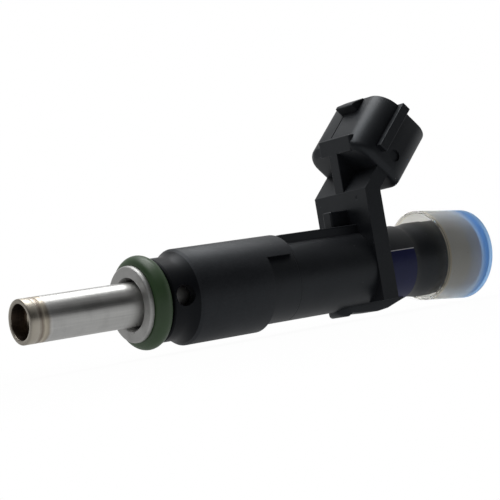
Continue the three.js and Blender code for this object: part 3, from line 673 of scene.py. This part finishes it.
def milky_plastic():
    """Thin wall, clear at its mouth and milky beyond, tinted where the seal shows through."""
    material, tree, shader = new_material("milky_plastic")
    grain = use(tree, GRAIN, Scale=700.0)
    marks = use(tree, DUST, Amount=0.7)
    spot = add(tree, "ShaderNodeTexCoord").outputs["Object"]
    axes = add(tree, "ShaderNodeSeparateXYZ", {0: spot})
    along = axes.outputs[0]
    flat = add(tree, "ShaderNodeCombineXYZ", {0: 0.0, 1: axes.outputs[1], 2: axes.outputs[2]})
    radius = add(tree, "ShaderNodeVectorMath", {0: flat.outputs[0]}, operation="LENGTH")
    outer = ranged(
        tree, radius.outputs["Value"], SEAL_SHOWS_INNER_R * MM, SEAL_SHOWS_OUTER_R * MM
    )
    clear_to = (MILKY_FROM_X - MILKY_BLUR) * MM
    milky_from = (MILKY_FROM_X + MILKY_BLUR) * MM
    haze = ranged(tree, along, clear_to, milky_from)
    lip = maths(tree, "ABSOLUTE", maths(tree, "SUBTRACT", along, milky_from))
    line = ranged(tree, lip, 0.1 * MM, 0.3 * MM, 1.0, 0.0)
    near_end = ranged(tree, along, SEAL_SHOWS_FROM_X * MM, SEAL_SHOWS_TO_X * MM)
    seal = maths(tree, "MULTIPLY", near_end, outer)
    deep, pale = (0.92, 0.91, 0.85, 1), (0.98, 0.97, 0.93, 1)
    painted_edge_paleness, grime = (0.97, 0.965, 0.92, 1), (0.45, 0.4, 0.32, 1)
    seal_blue, lip_cream_highlight = (0.24, 0.5, 0.86, 1), (0.86, 0.78, 0.6, 1)
    colour = mixed(tree, grain.outputs["Grain"], deep, pale)
    # Paler where the wall is seen edge-on, set by the viewing angle: painted light standing in for
    # the longer path through the milky wall.
    edge = add(tree, "ShaderNodeLayerWeight", {"Blend": 0.5}).outputs["Facing"]
    colour = mixed(tree, ranged(tree, edge, 0.25, 0.85), colour, painted_edge_paleness)
    faint = maths(tree, "MULTIPLY", marks.outputs["Dust"], 0.4)
    colour = mixed(tree, faint, colour, grime)
    colour = mixed(tree, maths(tree, "MULTIPLY", seal, 0.85), colour, seal_blue)
    # A cream band where the milky part begins: a warm rim colour with a painted highlight line
    # along it.
    colour = mixed(tree, line, colour, lip_cream_highlight)
    tree.links.new(colour, shader.inputs["Base Color"])
    tree.links.new(
        ranged(tree, marks.outputs["Smudge"], 0.0, 1.0, 0.4, 0.52), shader.inputs["Roughness"]
    )
    cover = maths(tree, "MAXIMUM", ranged(tree, haze, 0.0, 1.0, 0.05, 1.0), line)
    tree.links.new(cover, shader.inputs["Alpha"])
    shader.inputs["Transmission Weight"].default_value = 0.8
    shader.inputs["IOR"].default_value = 1.06
    bump(tree, shader, grain.outputs["Height"], 0.02)
    return material


def wound_copper():
    """Copper wire, laid in turns that show as raised rings."""
    return metal(
        "wound_copper",
        (0.62, 0.25, 0.1, 1),
        (0.3, 0.1, 0.04, 1),
        0.25,
        0.4,
        rings=1.0,
        streaks=0.0,
        relief=0.05,
    )[0]


BLACK = black_plastic()
SLEEVE = sleeve_plastic()
SHADED_NECK = shaded_neck_plastic()
NOZZLE = nozzle_steel()
BORE_SHADE = bore_shade_steel()
COLLAR = collar_steel()
VALVE_STEEL = metal("valve_steel", (0.62, 0.62, 0.61, 1), (0.5, 0.5, 0.49, 1), 0.16, 0.28)[0]
DARK_STEEL = metal("dark_steel", (0.3, 0.3, 0.305, 1), (0.2, 0.2, 0.205, 1), 0.3, 0.45)[0]
BRASS = metal(
    "brass", (0.65, 0.47, 0.22, 1), (0.5, 0.34, 0.14, 1), 0.22, 0.36, rings=0.8, streaks=0.2
)[0]
TINNED = metal(
    "tinned_terminal",
    (0.68, 0.67, 0.63, 1),
    (0.55, 0.54, 0.5, 1),
    0.24,
    0.4,
    rings=0.2,
    streaks=0.8,
)[0]
COPPER = wound_copper()
GREEN = rubber("green_rubber", (0.03, 0.068, 0.024, 1), (0.042, 0.085, 0.033, 1))
BLUE = rubber("blue_rubber", (0.02, 0.12, 0.36, 1), (0.03, 0.16, 0.44, 1))
BOBBIN = plastic("bobbin_plastic", (0.035, 0.038, 0.042, 1), (0.06, 0.063, 0.068, 1), 0.45, 0.6)[0]
FILTER = plastic("filter_plastic", (0.5, 0.45, 0.3, 1), (0.62, 0.56, 0.4, 1), 0.4, 0.55)[0]
NAVY = label_film("navy_label", (0.006, 0.008, 0.05, 1), (0.009, 0.011, 0.064, 1))
LABEL_EDGE = label_film("label_edge", (0.55, 0.55, 0.58, 1), (0.68, 0.68, 0.7, 1))
MILKY = milky_plastic()

NODE_LOOKS = {
    "orifice_disc": VALVE_STEEL,
    "valve_seat": VALVE_STEEL,
    "ball_guide": VALVE_STEEL,
    "valve_ball": VALVE_STEEL,
    "needle_tube": VALVE_STEEL,
    "armature": DARK_STEEL,
    "nonmagnetic_ring": VALVE_STEEL,
    "pole_core": DARK_STEEL,
    "return_spring": VALVE_STEEL,
    "spring_adjuster": BRASS,
    "coil_bobbin": BOBBIN,
    "coil_winding": COPPER,
    "magnet_can": DARK_STEEL,
    "flux_washer": DARK_STEEL,
    "inlet_filter": FILTER,
}


def dress_nodes():
    """Gives the inner pieces, shown as they are, their materials."""
    for node, material in NODE_LOOKS.items():
        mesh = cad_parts[node].data
        mesh.materials.clear()
        mesh.materials.append(material)


# ---- Nozzle end -----------------------------------------------------------------------


def nozzle_tube():
    outline = [(TIP_X, TUBE_BORE_R + 0.12)]
    outline += [(TIP_X, TUBE_R - 0.16), (TIP_X + 0.05, TUBE_R - 0.05), (TIP_X + 0.16, TUBE_R)]
    weld_line, weld_groove = (1.35, 0.02, 0.22), (2.2, 0.045, 0.5)
    for groove, depth, width in (weld_line, weld_groove):
        start = TIP_X + groove
        for k in range(7):
            t = k / 6
            dip = depth * math.sin(math.pi * t)
            outline.append((start + width * t, TUBE_R - dip))
    outline += [(TUBE_END_X, TUBE_R), (TUBE_END_X, TUBE_BORE_R)]
    outline += [(TIP_X + 0.14, TUBE_BORE_R), (TIP_X + 0.03, TUBE_BORE_R + 0.05)]
    obj = new_object("Nozzle_tube", turned(outline, FINE_SIDES), NOZZLE)
    # The bore's faces take the dark steel: painted shade inside the tube.
    obj.data.materials.append(BORE_SHADE)
    for face in obj.data.polygons:
        centre = face.center / MM
        in_bore = math.hypot(centre.y, centre.z) < TUBE_BORE_R + 0.02
        face.material_index = 1 if in_bore and centre.x > TIP_X + 0.1 else 0
    return fit(smooth(obj), "injector", "brushed_steel", "nozzle_tube")


def retainer_ring():
    outline = rounded(
        [
            (RETAINER_X, 2.05),
            (RETAINER_X, TUBE_BORE_R - GAP),
            (RETAINER_END_X, TUBE_BORE_R - GAP),
            (RETAINER_END_X, 1.7),
            (RETAINER_X + 0.35, 1.7),
        ],
        0.08,
    )
    obj = smooth(new_object("Retainer_ring", turned(outline, SMALL_SIDES), NOZZLE))
    return fit(obj, "injector", "brushed_steel", "orifice_retainer")


def seal_collar():
    outline = rounded(
        [
            (COLLAR_FACE_X, 4.15),
            (COLLAR_FACE_X, COLLAR_R - 0.2),
            (COLLAR_FACE_X + 0.2, COLLAR_R),
            (COLLAR_FACE_X + 0.76, COLLAR_R),
            (COLLAR_FACE_X + 0.76, SEAL_SEAT_R),
            (COLLAR_END_X, SEAL_SEAT_R),
            (COLLAR_END_X, TUBE_R + GAP),
            (COLLAR_FACE_X + 3.6, TUBE_R + GAP),
            (COLLAR_FACE_X + 3.6, COLLAR_MOUTH_R),
            (COLLAR_FACE_X + 1.0, COLLAR_MOUTH_R),
        ],
        0.1,
    )
    obj = smooth(new_object("Seal_collar", turned(outline, FINE_SIDES), COLLAR))
    return fit(obj, "injector", "collar_steel", "seal_collar")


def o_ring(name, centre_x, outer_r, section_r, material, slot, node):
    """A rubber ring with the faint ridge that its mould leaves."""
    steps = 56
    ridge_height, ridge_at, ridge_spread = 0.035, 51, 6.0
    outline = []
    for k in range(steps):
        angle = 2 * math.pi * k / steps
        off = (math.degrees(angle) - ridge_at) / ridge_spread
        ridge = ridge_height * math.exp(-(off**2))
        radius = section_r - ridge_height + ridge
        centre_r = outer_r - section_r
        outline.append((centre_x + radius * math.cos(angle), centre_r + radius * math.sin(angle)))
    obj = smooth(new_object(name, turned(outline, FINE_SIDES), material), 60)
    return fit(obj, "injector", slot, node)


# ---- Sleeve ---------------------------------------------------------------------------


def body_sleeve():
    bore = BODY_R + GAP
    shelf_x, neck_bore = 7.9, 5.2
    outline = [(NECK_FACE_X, SEAL_SEAT_R + 0.04), (NECK_FACE_X, NECK_R - 0.34)]
    outline += [(NECK_FACE_X + 0.06, NECK_R - 0.2), (NECK_FACE_X + 0.32, NECK_R)]
    outline.append((CONE_START_X, NECK_R))
    flare = 2.3
    for k in range(1, 9):
        t = k / 8
        outline.append(
            (
                CONE_START_X + (SLEEVE_START_X - 0.12 - CONE_START_X) * t,
                NECK_R + (SLEEVE_R - 0.12 - NECK_R) * t**flare,
            )
        )
    outline += [(SLEEVE_START_X - 0.03, SLEEVE_R - 0.05), (SLEEVE_START_X + 0.06, SLEEVE_R)]
    outline += [(SLEEVE_END_X, SLEEVE_R), (SLEEVE_END_X, bore), (shelf_x, bore)]
    outline += [(shelf_x, neck_bore), (NECK_FACE_X + 0.65, neck_bore)]
    outline.append((NECK_FACE_X + 0.65, SEAL_SEAT_R + 0.04))
    obj = new_object("Body_sleeve", turned(outline, FINE_SIDES), SLEEVE)
    reach = SLEEVE_R + 1
    cut(
        obj,
        box(SLEEVE_STEP_X, SLEEVE_END_X + 1, -reach, reach, -reach, SLEEVE_STEP_Z),
        rod((VENT_X, -reach, 0), (VENT_X, -VENT_FLOOR_R, 0), VENT_R, 64),
    )
    # The neck's faces take the darker neck plastic: partly its own finish, partly painted shade
    # between the seal and the sleeve.
    obj.data.materials.append(SHADED_NECK)
    for face in obj.data.polygons:
        face.material_index = 1 if face.center.x / MM < SLEEVE_START_X - 0.5 else 0
    return fit(smooth(bevelled(obj, 0.09, 2), 30), "injector", "black_plastic", "body_sleeve")


# ---- Overmoulded body -----------------------------------------------------------------


def barrel():
    mark_r = BODY_R - 0.035
    lip_r = SHOULDER_R - 0.14
    outline = [
        (BODY_START_X, BODY_BORE_R),
        (BODY_START_X, BODY_R),
        (25.78, BODY_R),
        (25.84, mark_r),
        (25.92, mark_r),
        (25.98, BODY_R),
        (PLATE_X + 1, BODY_R),
        (PLATE_X + 1, REAR_NECK_R),
        (REAR_NECK_END_X, REAR_NECK_R),
        (REAR_NECK_END_X + 0.35, RELIEF_R - 0.04),
        (REAR_NECK_END_X + 1.3, RELIEF_R - 0.12),
        (RELIEF_END_X, RELIEF_R),
        (SHOULDER_START_X, SHOULDER_R),
        (SHOULDER_STEP_X, SHOULDER_R),
        (SHOULDER_STEP_END_X, lip_r),
        (SHOULDER_END_X - 0.3, lip_r),
        (SHOULDER_END_X, SHOULDER_R - 0.4),
        (SHOULDER_END_X, INLET_R + GAP),
        (BODY_BORE_END_X, INLET_R + GAP),
        (BODY_BORE_END_X, BODY_BORE_R),
    ]
    obj = smooth(new_object("Barrel", turned(outline, FINE_SIDES), BLACK), 30)
    return fit(obj, "injector", "black_plastic", "overmould_body")


def moulded(name, shape, width=0.15, segments=3):
    """One more feature of the overmoulded body."""
    obj = bevelled(new_object(name, shape, BLACK), width, segments)
    return fit(obj, "injector", "black_plastic")


def keel():
    nose = KEEL_DEPTH - BODY_R + 0.4
    end_x = PLATE_END_X + 4.7
    floor = []
    for k in range(9):
        angle = k / 8 * math.pi / 2
        floor.append(
            (
                KEEL_START_X + 1.2 * nose * (1 - math.cos(angle)),
                -KEEL_DEPTH + nose * (1 - math.sin(angle)),
            )
        )
    floor += [
        (PLATE_X - 4.0, -KEEL_DEPTH),
        (PLATE_X - 3.65, -KEEL_DEPTH + 0.2),
        (PLATE_X - 3.3, -KEEL_DEPTH + 0.42),
        (PLATE_X - 2.6, -KEEL_DEPTH + 0.3),
        (PLATE_X + 2.2, -KEEL_DEPTH + 0.02),
        (PLATE_END_X + 1.2, -KEEL_DEPTH + 0.27),
        (end_x, -REAR_NECK_R),
    ]
    top = -BODY_R + 1.2
    rings = []
    for x, z in floor:
        into = x - KEEL_START_X
        half = KEEL_HALF
        if into < KEEL_HALF:
            half = math.sqrt(max(KEEL_HALF**2 - (KEEL_HALF - into) ** 2, 0.04))
        soft = min(0.3, half * 0.4)
        rings.append(
            [
                (x, -half, top),
                (x, -half, z + soft),
                (x, -half + soft * 0.3, z + soft * 0.3),
                (x, -half + soft, z),
                (x, half - soft, z),
                (x, half - soft * 0.3, z + soft * 0.3),
                (x, half, z + soft),
                (x, half, top),
            ]
        )
    obj = smooth(new_object("Keel", lofted(rings), BLACK), 40)
    return fit(obj, "injector", "black_plastic")


def flange_plate():
    buried = SHROUD_BASE + 1.5
    profile = [
        (PLATE_X, PLATE_BOTTOM_Z),
        (PLATE_END_X, PLATE_BOTTOM_Z),
        (PLATE_END_X, arm_height(PLATE_END_X, ARM_REAR)),
        arm_point(buried, ARM_REAR),
        arm_point(buried, ARM_TOP),
        (PLATE_X, arm_height(PLATE_X, ARM_TOP)),
    ]
    obj = new_object("Flange_plate", slab(profile, -PLATE_HALF, PLATE_HALF), BLACK)
    mark_y, mark_z, mark_r = -4.3, 11.4, 0.3
    cut(obj, rod((PLATE_X - 1, mark_y, mark_z), (PLATE_X + 0.06, mark_y, mark_z), mark_r, 32))
    return fit(bevelled(obj, 0.14, 3), "injector", "black_plastic")


def arm_features():
    low = arm_height(PLATE_X, ARM_TOP) - 1
    web = [
        (PLATE_X + 0.06, low),
        (PLATE_X + 2, low),
        arm_point(SHROUD_BASE + 2, ARM_TOP + 0.5),
        (PLATE_X + 1.6, HEAD_BOTTOM_Z + 0.4),
        (PLATE_X, HEAD_BOTTOM_Z + 0.4),
    ]
    moulded("Arm_web", slab(web, -WEB_HALF, WEB_HALF), 0.1)
    head = [
        (PLATE_X, HEAD_BOTTOM_Z),
        (PLATE_X + 2.7, HEAD_BOTTOM_Z),
        (PLATE_X + 3.4, HEAD_BOTTOM_Z + 1.4),
        (PLATE_X + 2.4, HEAD_TOP_Z),
        (PLATE_X, HEAD_TOP_Z),
    ]
    obj = new_object("Arm_head", slab(head, -HEAD_HALF, HEAD_HALF), BLACK)
    corner = []
    for z in (HEAD_BOTTOM_Z - 1, HEAD_TOP_Z + 1):
        corner.append(
            [
                (PLATE_X - 1, HEAD_HALF - HEAD_CORNER - 1, z),
                (PLATE_X + HEAD_CORNER + 1, HEAD_HALF + 1, z),
                (PLATE_X - 1, HEAD_HALF + 1, z),
            ]
        )
    cut(obj, lofted(corner))
    fit(smooth(bevelled(obj, 0.3, 4)), "injector", "black_plastic")
    moulded(
        "Snout",
        box(SNOUT_X, PLATE_X + 1, -WEB_HALF, WEB_HALF, RIB_TOP_Z - 1, SNOUT_TOP_Z),
        0.3,
    )
    moulded(
        "Top_rib",
        box(SLEEVE_END_X + 0.1, PLATE_X + 1, -RIB_HALF, RIB_HALF, BODY_R - 1.5, RIB_TOP_Z),
        0.28,
        4,
    )


def shroud_ring(along, inset):
    """The shroud's rounded cross-section at a distance along its axis."""
    corners = (
        (REAR_SIDE, 1, REAR_CORNER_R, 0),
        (LATCH_SIDE, 1, LATCH_CORNER_R, 1),
        (LATCH_SIDE, -1, LATCH_CORNER_R, 2),
        (REAR_SIDE, -1, REAR_CORNER_R, 3),
    )
    points = []
    for side, hand, radius, quarter in corners:
        inward = -1 if side == REAR_SIDE else 1
        centre_across = side + inward * radius
        centre_y = hand * (SHROUD_HALF - radius)
        arc = radius - inset
        for k in range(13):
            angle = (quarter + k / 12) * math.pi / 2
            across = centre_across + arc * math.cos(angle)
            y = centre_y + arc * math.sin(angle)
            points.append(arm_space(along, across, y))
    return points


def shroud():
    rings = []
    for k in range(8):
        angle = k / 7 * math.pi / 2
        inset = BASE_ROUND * (1 - math.sin(angle))
        rings.append(shroud_ring(SHROUD_BASE + BASE_ROUND * (1 - math.cos(angle)), inset))
    middle = sum(rings[0], Vector()) / len(rings[0])
    rings.insert(0, [middle.lerp(point, 0.92) for point in rings[0]])
    for ring in rings:
        for point in ring:
            point.x = max(point.x, PLATE_X + 0.01)
    lip = 0.14
    rings.append(shroud_ring(SHROUD_MOUTH - lip, 0))
    rings.append(shroud_ring(SHROUD_MOUTH - lip * 0.3, lip * 0.3))
    rings.append(shroud_ring(SHROUD_MOUTH, lip))
    rings.append(shroud_ring(SHROUD_MOUTH, SHROUD_WALL - lip))
    rings.append(shroud_ring(SHROUD_MOUTH - lip * 0.3, SHROUD_WALL - lip * 0.3))
    rings.append(shroud_ring(SHROUD_MOUTH - lip, SHROUD_WALL))
    rings.append(shroud_ring(SOCKET_FLOOR + 0.3, SHROUD_WALL))
    rings.append(shroud_ring(SOCKET_FLOOR + 0.08, SHROUD_WALL + 0.08))
    rings.append(shroud_ring(SOCKET_FLOOR, SHROUD_WALL + 0.3))
    obj = new_object("Connector_shroud", lofted(rings), BLACK)
    dimple_along, dimple_across, dimple_depth = 46.6, 22.2, 0.35
    dimple = rod(
        arm_space(dimple_along, dimple_across, -SHROUD_HALF - 1),
        arm_space(dimple_along, dimple_across, -SHROUD_HALF + dimple_depth),
        1.0,
    )
    groove_start, groove_end = 46.2, 51.1
    groove_ends = []
    for along in (groove_start, groove_end):
        groove_ends.append(
            [
                arm_space(along, LATCH_SIDE - 0.3, 1.05),
                arm_space(along, LATCH_SIDE - 0.3, 1.4),
                arm_space(along, LATCH_SIDE + 0.12, 1.32),
                arm_space(along, LATCH_SIDE + 0.12, 1.13),
            ]
        )
    cut(obj, dimple, lofted(groove_ends))
    return fit(smooth(obj, 32), "injector", "black_plastic")


def shroud_features():
    key_ends = []
    for along in (SHROUD_BASE + BASE_ROUND + 0.9, SHROUD_MOUTH + 0.35):
        key_ends.append(
            [
                arm_space(along, KEY_START, -SHROUD_HALF - KEY_HEIGHT),
                arm_space(along, KEY_START + KEY_WIDTH, -SHROUD_HALF - KEY_HEIGHT),
                arm_space(along, KEY_START + KEY_WIDTH, -SHROUD_HALF + 0.6),
                arm_space(along, KEY_START, -SHROUD_HALF + 0.6),
            ]
        )
    moulded("Key_rib", lofted(key_ends), 0.14)
    nib = [
        arm_point(NIB_START, LATCH_SIDE + 0.5),
        arm_point(SHROUD_MOUTH - 0.2, LATCH_SIDE + 0.5),
        arm_point(SHROUD_MOUTH - 0.2, LATCH_SIDE - 0.2),
        arm_point(NIB_START + 0.6, LATCH_SIDE - NIB_HEIGHT),
        arm_point(NIB_START, LATCH_SIDE - NIB_HEIGHT),
    ]
    moulded("Latch_nib", slab(nib, -NIB_HALF, NIB_HALF), 0.14)


def terminal(hand, name, node):
    """A strip along the body and a blade up the arm, which overlap where they meet."""
    half = PIN_THICKNESS / 2
    near, far = PIN_RISE_X - half, PIN_RISE_X + half
    run_top, rise_foot = 11.0, 8.0
    run = [
        (PIN_START_X, PIN_RUN_Z - half),
        (far, PIN_RUN_Z - half),
        (far, run_top),
        (near, run_top),
        (near, PIN_RUN_Z + half),
        (PIN_START_X, PIN_RUN_Z + half),
    ]
    rise = [
        (near, rise_foot),
        (far, rise_foot),
        (far, arm_height(far, PIN_ACROSS + half)),
        arm_point(PIN_TIP - 0.9, PIN_ACROSS + half),
        arm_point(PIN_TIP, PIN_ACROSS + half * 0.4),
        arm_point(PIN_TIP, PIN_ACROSS - half * 0.4),
        arm_point(PIN_TIP - 0.9, PIN_ACROSS - half),
        (near, arm_height(near, PIN_ACROSS - half)),
    ]
    side = PIN_WIDTH / 2
    for label, profile, offset, nodes in (
        ("_strip", run, RUN_OFFSET, ()),
        ("_blade", rise, PIN_OFFSET, (node,)),
    ):
        shape = slab(profile, hand * offset - side, hand * offset + side)
        obj = bevelled(new_object(name + label, shape, TINNED), 0.07, 2, 25)
        fit(obj, "injector", "tinned_terminal", *nodes)


# ---- Inlet end ------------------------------------------------------------------------


def inlet_tube():
    seat_r = UPPER_SEAL_R - 2 * UPPER_SEAL_SECTION_R - GAP
    groove = UPPER_SEAL_X - UPPER_SEAL_SECTION_R
    outline = rounded(
        [
            (INLET_X, 1.6),
            (INLET_X, INLET_R),
            (groove - 0.5, INLET_R),
            (groove, seat_r),
            (INLET_END_X - 0.58, seat_r),
            (INLET_END_X - 0.45, 4.7),
            (INLET_END_X, 4.6),
            (INLET_END_X, INLET_BORE_R + 0.3),
            (INLET_END_X - 0.3, INLET_BORE_R),
            (INLET_X + 6, INLET_BORE_R),
            (INLET_X + 4, 1.6),
        ],
        0.12,
    )
    obj = smooth(new_object("Inlet_tube", turned(outline, SMALL_SIDES), DARK_STEEL))
    return fit(obj, "injector", "dark_steel", "inlet_tube")


def seal_stop():
    outline = rounded(
        [
            (SHOULDER_END_X + GAP, INLET_R + GAP),
            (SHOULDER_END_X + GAP, SHOULDER_R - 0.3),
            (UPPER_SEAL_X - UPPER_SEAL_SECTION_R - GAP, SHOULDER_R - 0.3),
            (UPPER_SEAL_X - UPPER_SEAL_SECTION_R - GAP, INLET_R + GAP),
        ],
        0.06,
    )
    obj = smooth(new_object("Seal_stop", turned(outline, SMALL_SIDES), BLACK))
    return fit(obj, "injector", "black_plastic", "seal_stop")


def label_band():
    """A thin film on the rear neck with pale cut ends."""
    inner, outer = REAR_NECK_R + 0.02, REAR_NECK_R + 0.1
    border_deg, border_x = 1.3, 0.12
    angles = [0.0, border_deg]
    steps = 72
    for k in range(1, steps):
        angles.append(border_deg + (LABEL_SPAN_DEG - 2 * border_deg) * k / steps)
    angles += [LABEL_SPAN_DEG - border_deg, LABEL_SPAN_DEG]
    places = [LABEL_START_X, LABEL_START_X + border_x]
    places += [LABEL_END_X - border_x, LABEL_END_X]
    sections = []
    for degrees in angles:
        angle = math.radians(degrees - LABEL_TOP_DEG)
        y, z = -math.cos(angle), -math.sin(angle)
        ring = [(x, outer * y, outer * z) for x in places]
        ring += [(x, inner * y, inner * z) for x in reversed(places)]
        sections.append(ring)
    obj = new_object("Label_band", lofted(sections), NAVY)
    obj.data.materials.append(LABEL_EDGE)
    for face in obj.data.polygons:
        centre = face.center / MM
        angle = math.degrees(math.atan2(-centre.z, -centre.y)) + LABEL_TOP_DEG
        angle %= 360
        at_end = angle < border_deg or angle > LABEL_SPAN_DEG - border_deg
        face.material_index = 1 if at_end else 0
    return fit(smooth(obj, 40), "injector", "navy_label", "label_band")


def transit_cap():
    """A thin cap with a rolled lip and a dished end, a little askew on the inlet."""
    inner_r = CAP_R - CAP_WALL
    end = CAP_LENGTH - 0.22
    outline = [(end + 0.2, 0), (end + 0.2, 0.45), (end, 0.6), (end, 5.2)]
    outline += [(CAP_LENGTH - 0.03, 5.7), (CAP_LENGTH, CAP_R - CAP_ROUND)]
    for k in range(1, 9):
        angle = k / 8 * math.pi / 2
        outline.append(
            (
                CAP_LENGTH - CAP_ROUND * (1 - math.cos(angle)),
                CAP_R - CAP_ROUND * (1 - math.sin(angle)),
            )
        )
    outline += [(0.14, CAP_R), (0.03, CAP_R - 0.1), (0, CAP_R - 0.2)]
    outline += [(0.04, inner_r + 0.08), (0.14, inner_r)]
    inner_round = CAP_ROUND - CAP_WALL
    for k in range(9):
        angle = k / 8 * math.pi / 2
        outline.append(
            (
                end - CAP_WALL - inner_round * (1 - math.sin(angle)),
                inner_r - inner_round * (1 - math.cos(angle)),
            )
        )
    outline.append((end - CAP_WALL, 0))
    verts, faces = turned(outline, FINE_SIDES)
    place = Matrix.Translation((CAP_MOUTH_X, 0, CAP_MOUTH_Z)) @ Matrix.Rotation(
        CAP_TILT, 4, "Y"
    )
    verts = [place @ Vector(v) for v in verts]
    obj = smooth(new_object("Transit_cap", (verts, faces), MILKY), 40)
    return fit(obj, "cap", "milky_plastic", "transit_cap")


# ---- Stage ----------------------------------------------------------------------------

FLOOR_Z = -8.4
CAMERA_AT = Vector((-146.042, -229.163, -3.690))
CAMERA_RIGHT = Vector((0.7986, -0.5781, -0.1673))
CAMERA_UP = Vector((0.1161, -0.1249, 0.9854))
CAMERA_BACK = Vector((-0.5905, -0.8064, -0.0327))
CAMERA_LENS = 128.56

# How far out the floor fades, in metres, and how much of it glows.
FADE_FROM, FADE_TO = 0.03, 0.16
GLOW_SHARE, GLOW_MIRRORED = 0.96, 0.5

# Where each part of the surround begins and ends, from -1 to 1, and how bright it is.
CARD_SPAN, CARD_LEVEL = (-0.75, 0.1), 0.03
SKY_SPAN, SKY_LEVEL = (0.45, 0.95), 0.3
SHADE_SPAN, SHADE_LEVEL = (0.15, 0.6), 0.3


def camera():
    data = bpy.data.cameras.new("Camera")
    data.lens = CAMERA_LENS
    data.sensor_width = 36.0
    data.clip_start, data.clip_end = 0.01, 20.0
    obj = bpy.data.objects.new("Camera", data)
    bpy.context.scene.collection.objects.link(obj)
    columns = Matrix((CAMERA_RIGHT, CAMERA_UP, CAMERA_BACK)).transposed()
    obj.matrix_world = Matrix.Translation(CAMERA_AT * MM) @ columns.to_4x4()
    bpy.context.scene.camera = obj


def floor():
    """A wide pale floor that glows for the most part, and fades into the white surround."""
    size = 1500
    shape = box(-size, size, -size, size, FLOOR_Z - 5, FLOOR_Z)
    material, tree, shader = new_material("floor")
    spot = add(tree, "ShaderNodeTexCoord").outputs["Object"]
    tone = ranged(tree, noise(tree, spot, 40.0, 2.0), 0.3, 0.7)
    colour = mixed(tree, tone, (0.9, 0.9, 0.9, 1), (0.93, 0.93, 0.93, 1))
    tree.links.new(colour, shader.inputs["Base Color"])
    shader.inputs["Roughness"].default_value = 0.9
    shader.inputs["Specular IOR Level"].default_value = 0.0
    far = add(tree, "ShaderNodeVectorMath", {0: spot}, operation="LENGTH").outputs["Value"]
    fade = ranged(tree, far, FADE_FROM, FADE_TO, GLOW_SHARE, 1.0)
    path = add(tree, "ShaderNodeLightPath").outputs["Is Camera Ray"]
    level = ranged(tree, path, 0.0, 1.0, GLOW_MIRRORED, 1.0)
    glow = add(tree, "ShaderNodeEmission", {"Color": (1, 1, 1, 1), "Strength": level})
    blend = add(tree, "ShaderNodeMixShader", {0: fade, 1: shader.outputs[0], 2: glow.outputs[0]})
    tree.links.new(blend.outputs[0], tree.nodes["Material Output"].inputs["Surface"])
    obj = new_object("Floor", shape, material)


def area_light(name, at, toward, width, height, power):
    data = bpy.data.lights.new(name, "AREA")
    data.shape = "RECTANGLE"
    data.size, data.size_y = width * MM, height * MM
    data.energy = power
    obj = bpy.data.objects.new(name, data)
    bpy.context.scene.collection.objects.link(obj)
    obj.location = Vector(at) * MM
    obj.rotation_mode = "QUATERNION"
    obj.rotation_quaternion = (Vector(toward) - Vector(at)).to_track_quat("-Z", "Y")


def surround():
    """White all round, with a darker card on the near side that the glossy pieces mirror."""
    world = bpy.data.worlds.new("Surround")
    bpy.context.scene.world = world
    world.use_nodes = True
    tree = world.node_tree
    tree.nodes.clear()
    way = add(tree, "ShaderNodeTexCoord").outputs["Generated"]
    near = Vector((CAMERA_BACK.x, CAMERA_BACK.y, 0)).normalized()
    facing = add(
        tree, "ShaderNodeVectorMath", {0: way, 1: near}, operation="DOT_PRODUCT"
    ).outputs["Value"]
    card = ranged(tree, facing, *CARD_SPAN, 1.0, CARD_LEVEL)
    up = add(tree, "ShaderNodeSeparateXYZ", {0: way}).outputs[2]
    sky = ranged(tree, up, *SKY_SPAN)
    shade = ranged(tree, up, *SHADE_SPAN, 1.0, SHADE_LEVEL)
    overhead = maths(tree, "MULTIPLY", sky, SKY_LEVEL)
    level = maths(tree, "ADD", maths(tree, "MULTIPLY", card, shade), overhead)
    light = add(tree, "ShaderNodeBackground", {"Color": (1, 1, 1, 1), "Strength": level})
    seen = add(tree, "ShaderNodeBackground", {"Color": (1, 1, 1, 1), "Strength": 1.0})
    path = add(tree, "ShaderNodeLightPath").outputs["Is Camera Ray"]
    blend = add(
        tree, "ShaderNodeMixShader", {0: path, 1: light.outputs[0], 2: seen.outputs[0]}
    )
    output = tree.nodes.new("ShaderNodeOutputWorld")
    tree.links.new(blend.outputs[0], output.inputs["Surface"])


def stage():
    camera()
    floor()
    surround()
    area_light(
        "Top softbox", at=(10, 60, 260), toward=(20, 0, 0), width=320, height=160, power=0.6
    )
    settings = bpy.context.scene.view_settings
    settings.view_transform = "Standard"
    settings.look = "None"


# ---- Build ----------------------------------------------------------------------------

dress_nodes()
nozzle_tube()
retainer_ring()
seal_collar()
o_ring(
    "Lower_O-ring", 0.0, LOWER_SEAL_R, LOWER_SEAL_SECTION_R, GREEN, "green_rubber", "lower_o_ring"
)
body_sleeve()
barrel()
keel()
flange_plate()
arm_features()
shroud()
shroud_features()
terminal(1, "Left_terminal", "terminal_left")
terminal(-1, "Right_terminal", "terminal_right")
inlet_tube()
seal_stop()
o_ring(
    "Upper_O-ring",
    UPPER_SEAL_X,
    UPPER_SEAL_R,
    UPPER_SEAL_SECTION_R,
    BLUE,
    "blue_rubber",
    "upper_o_ring",
)
label_band()
transit_cap()
stage()
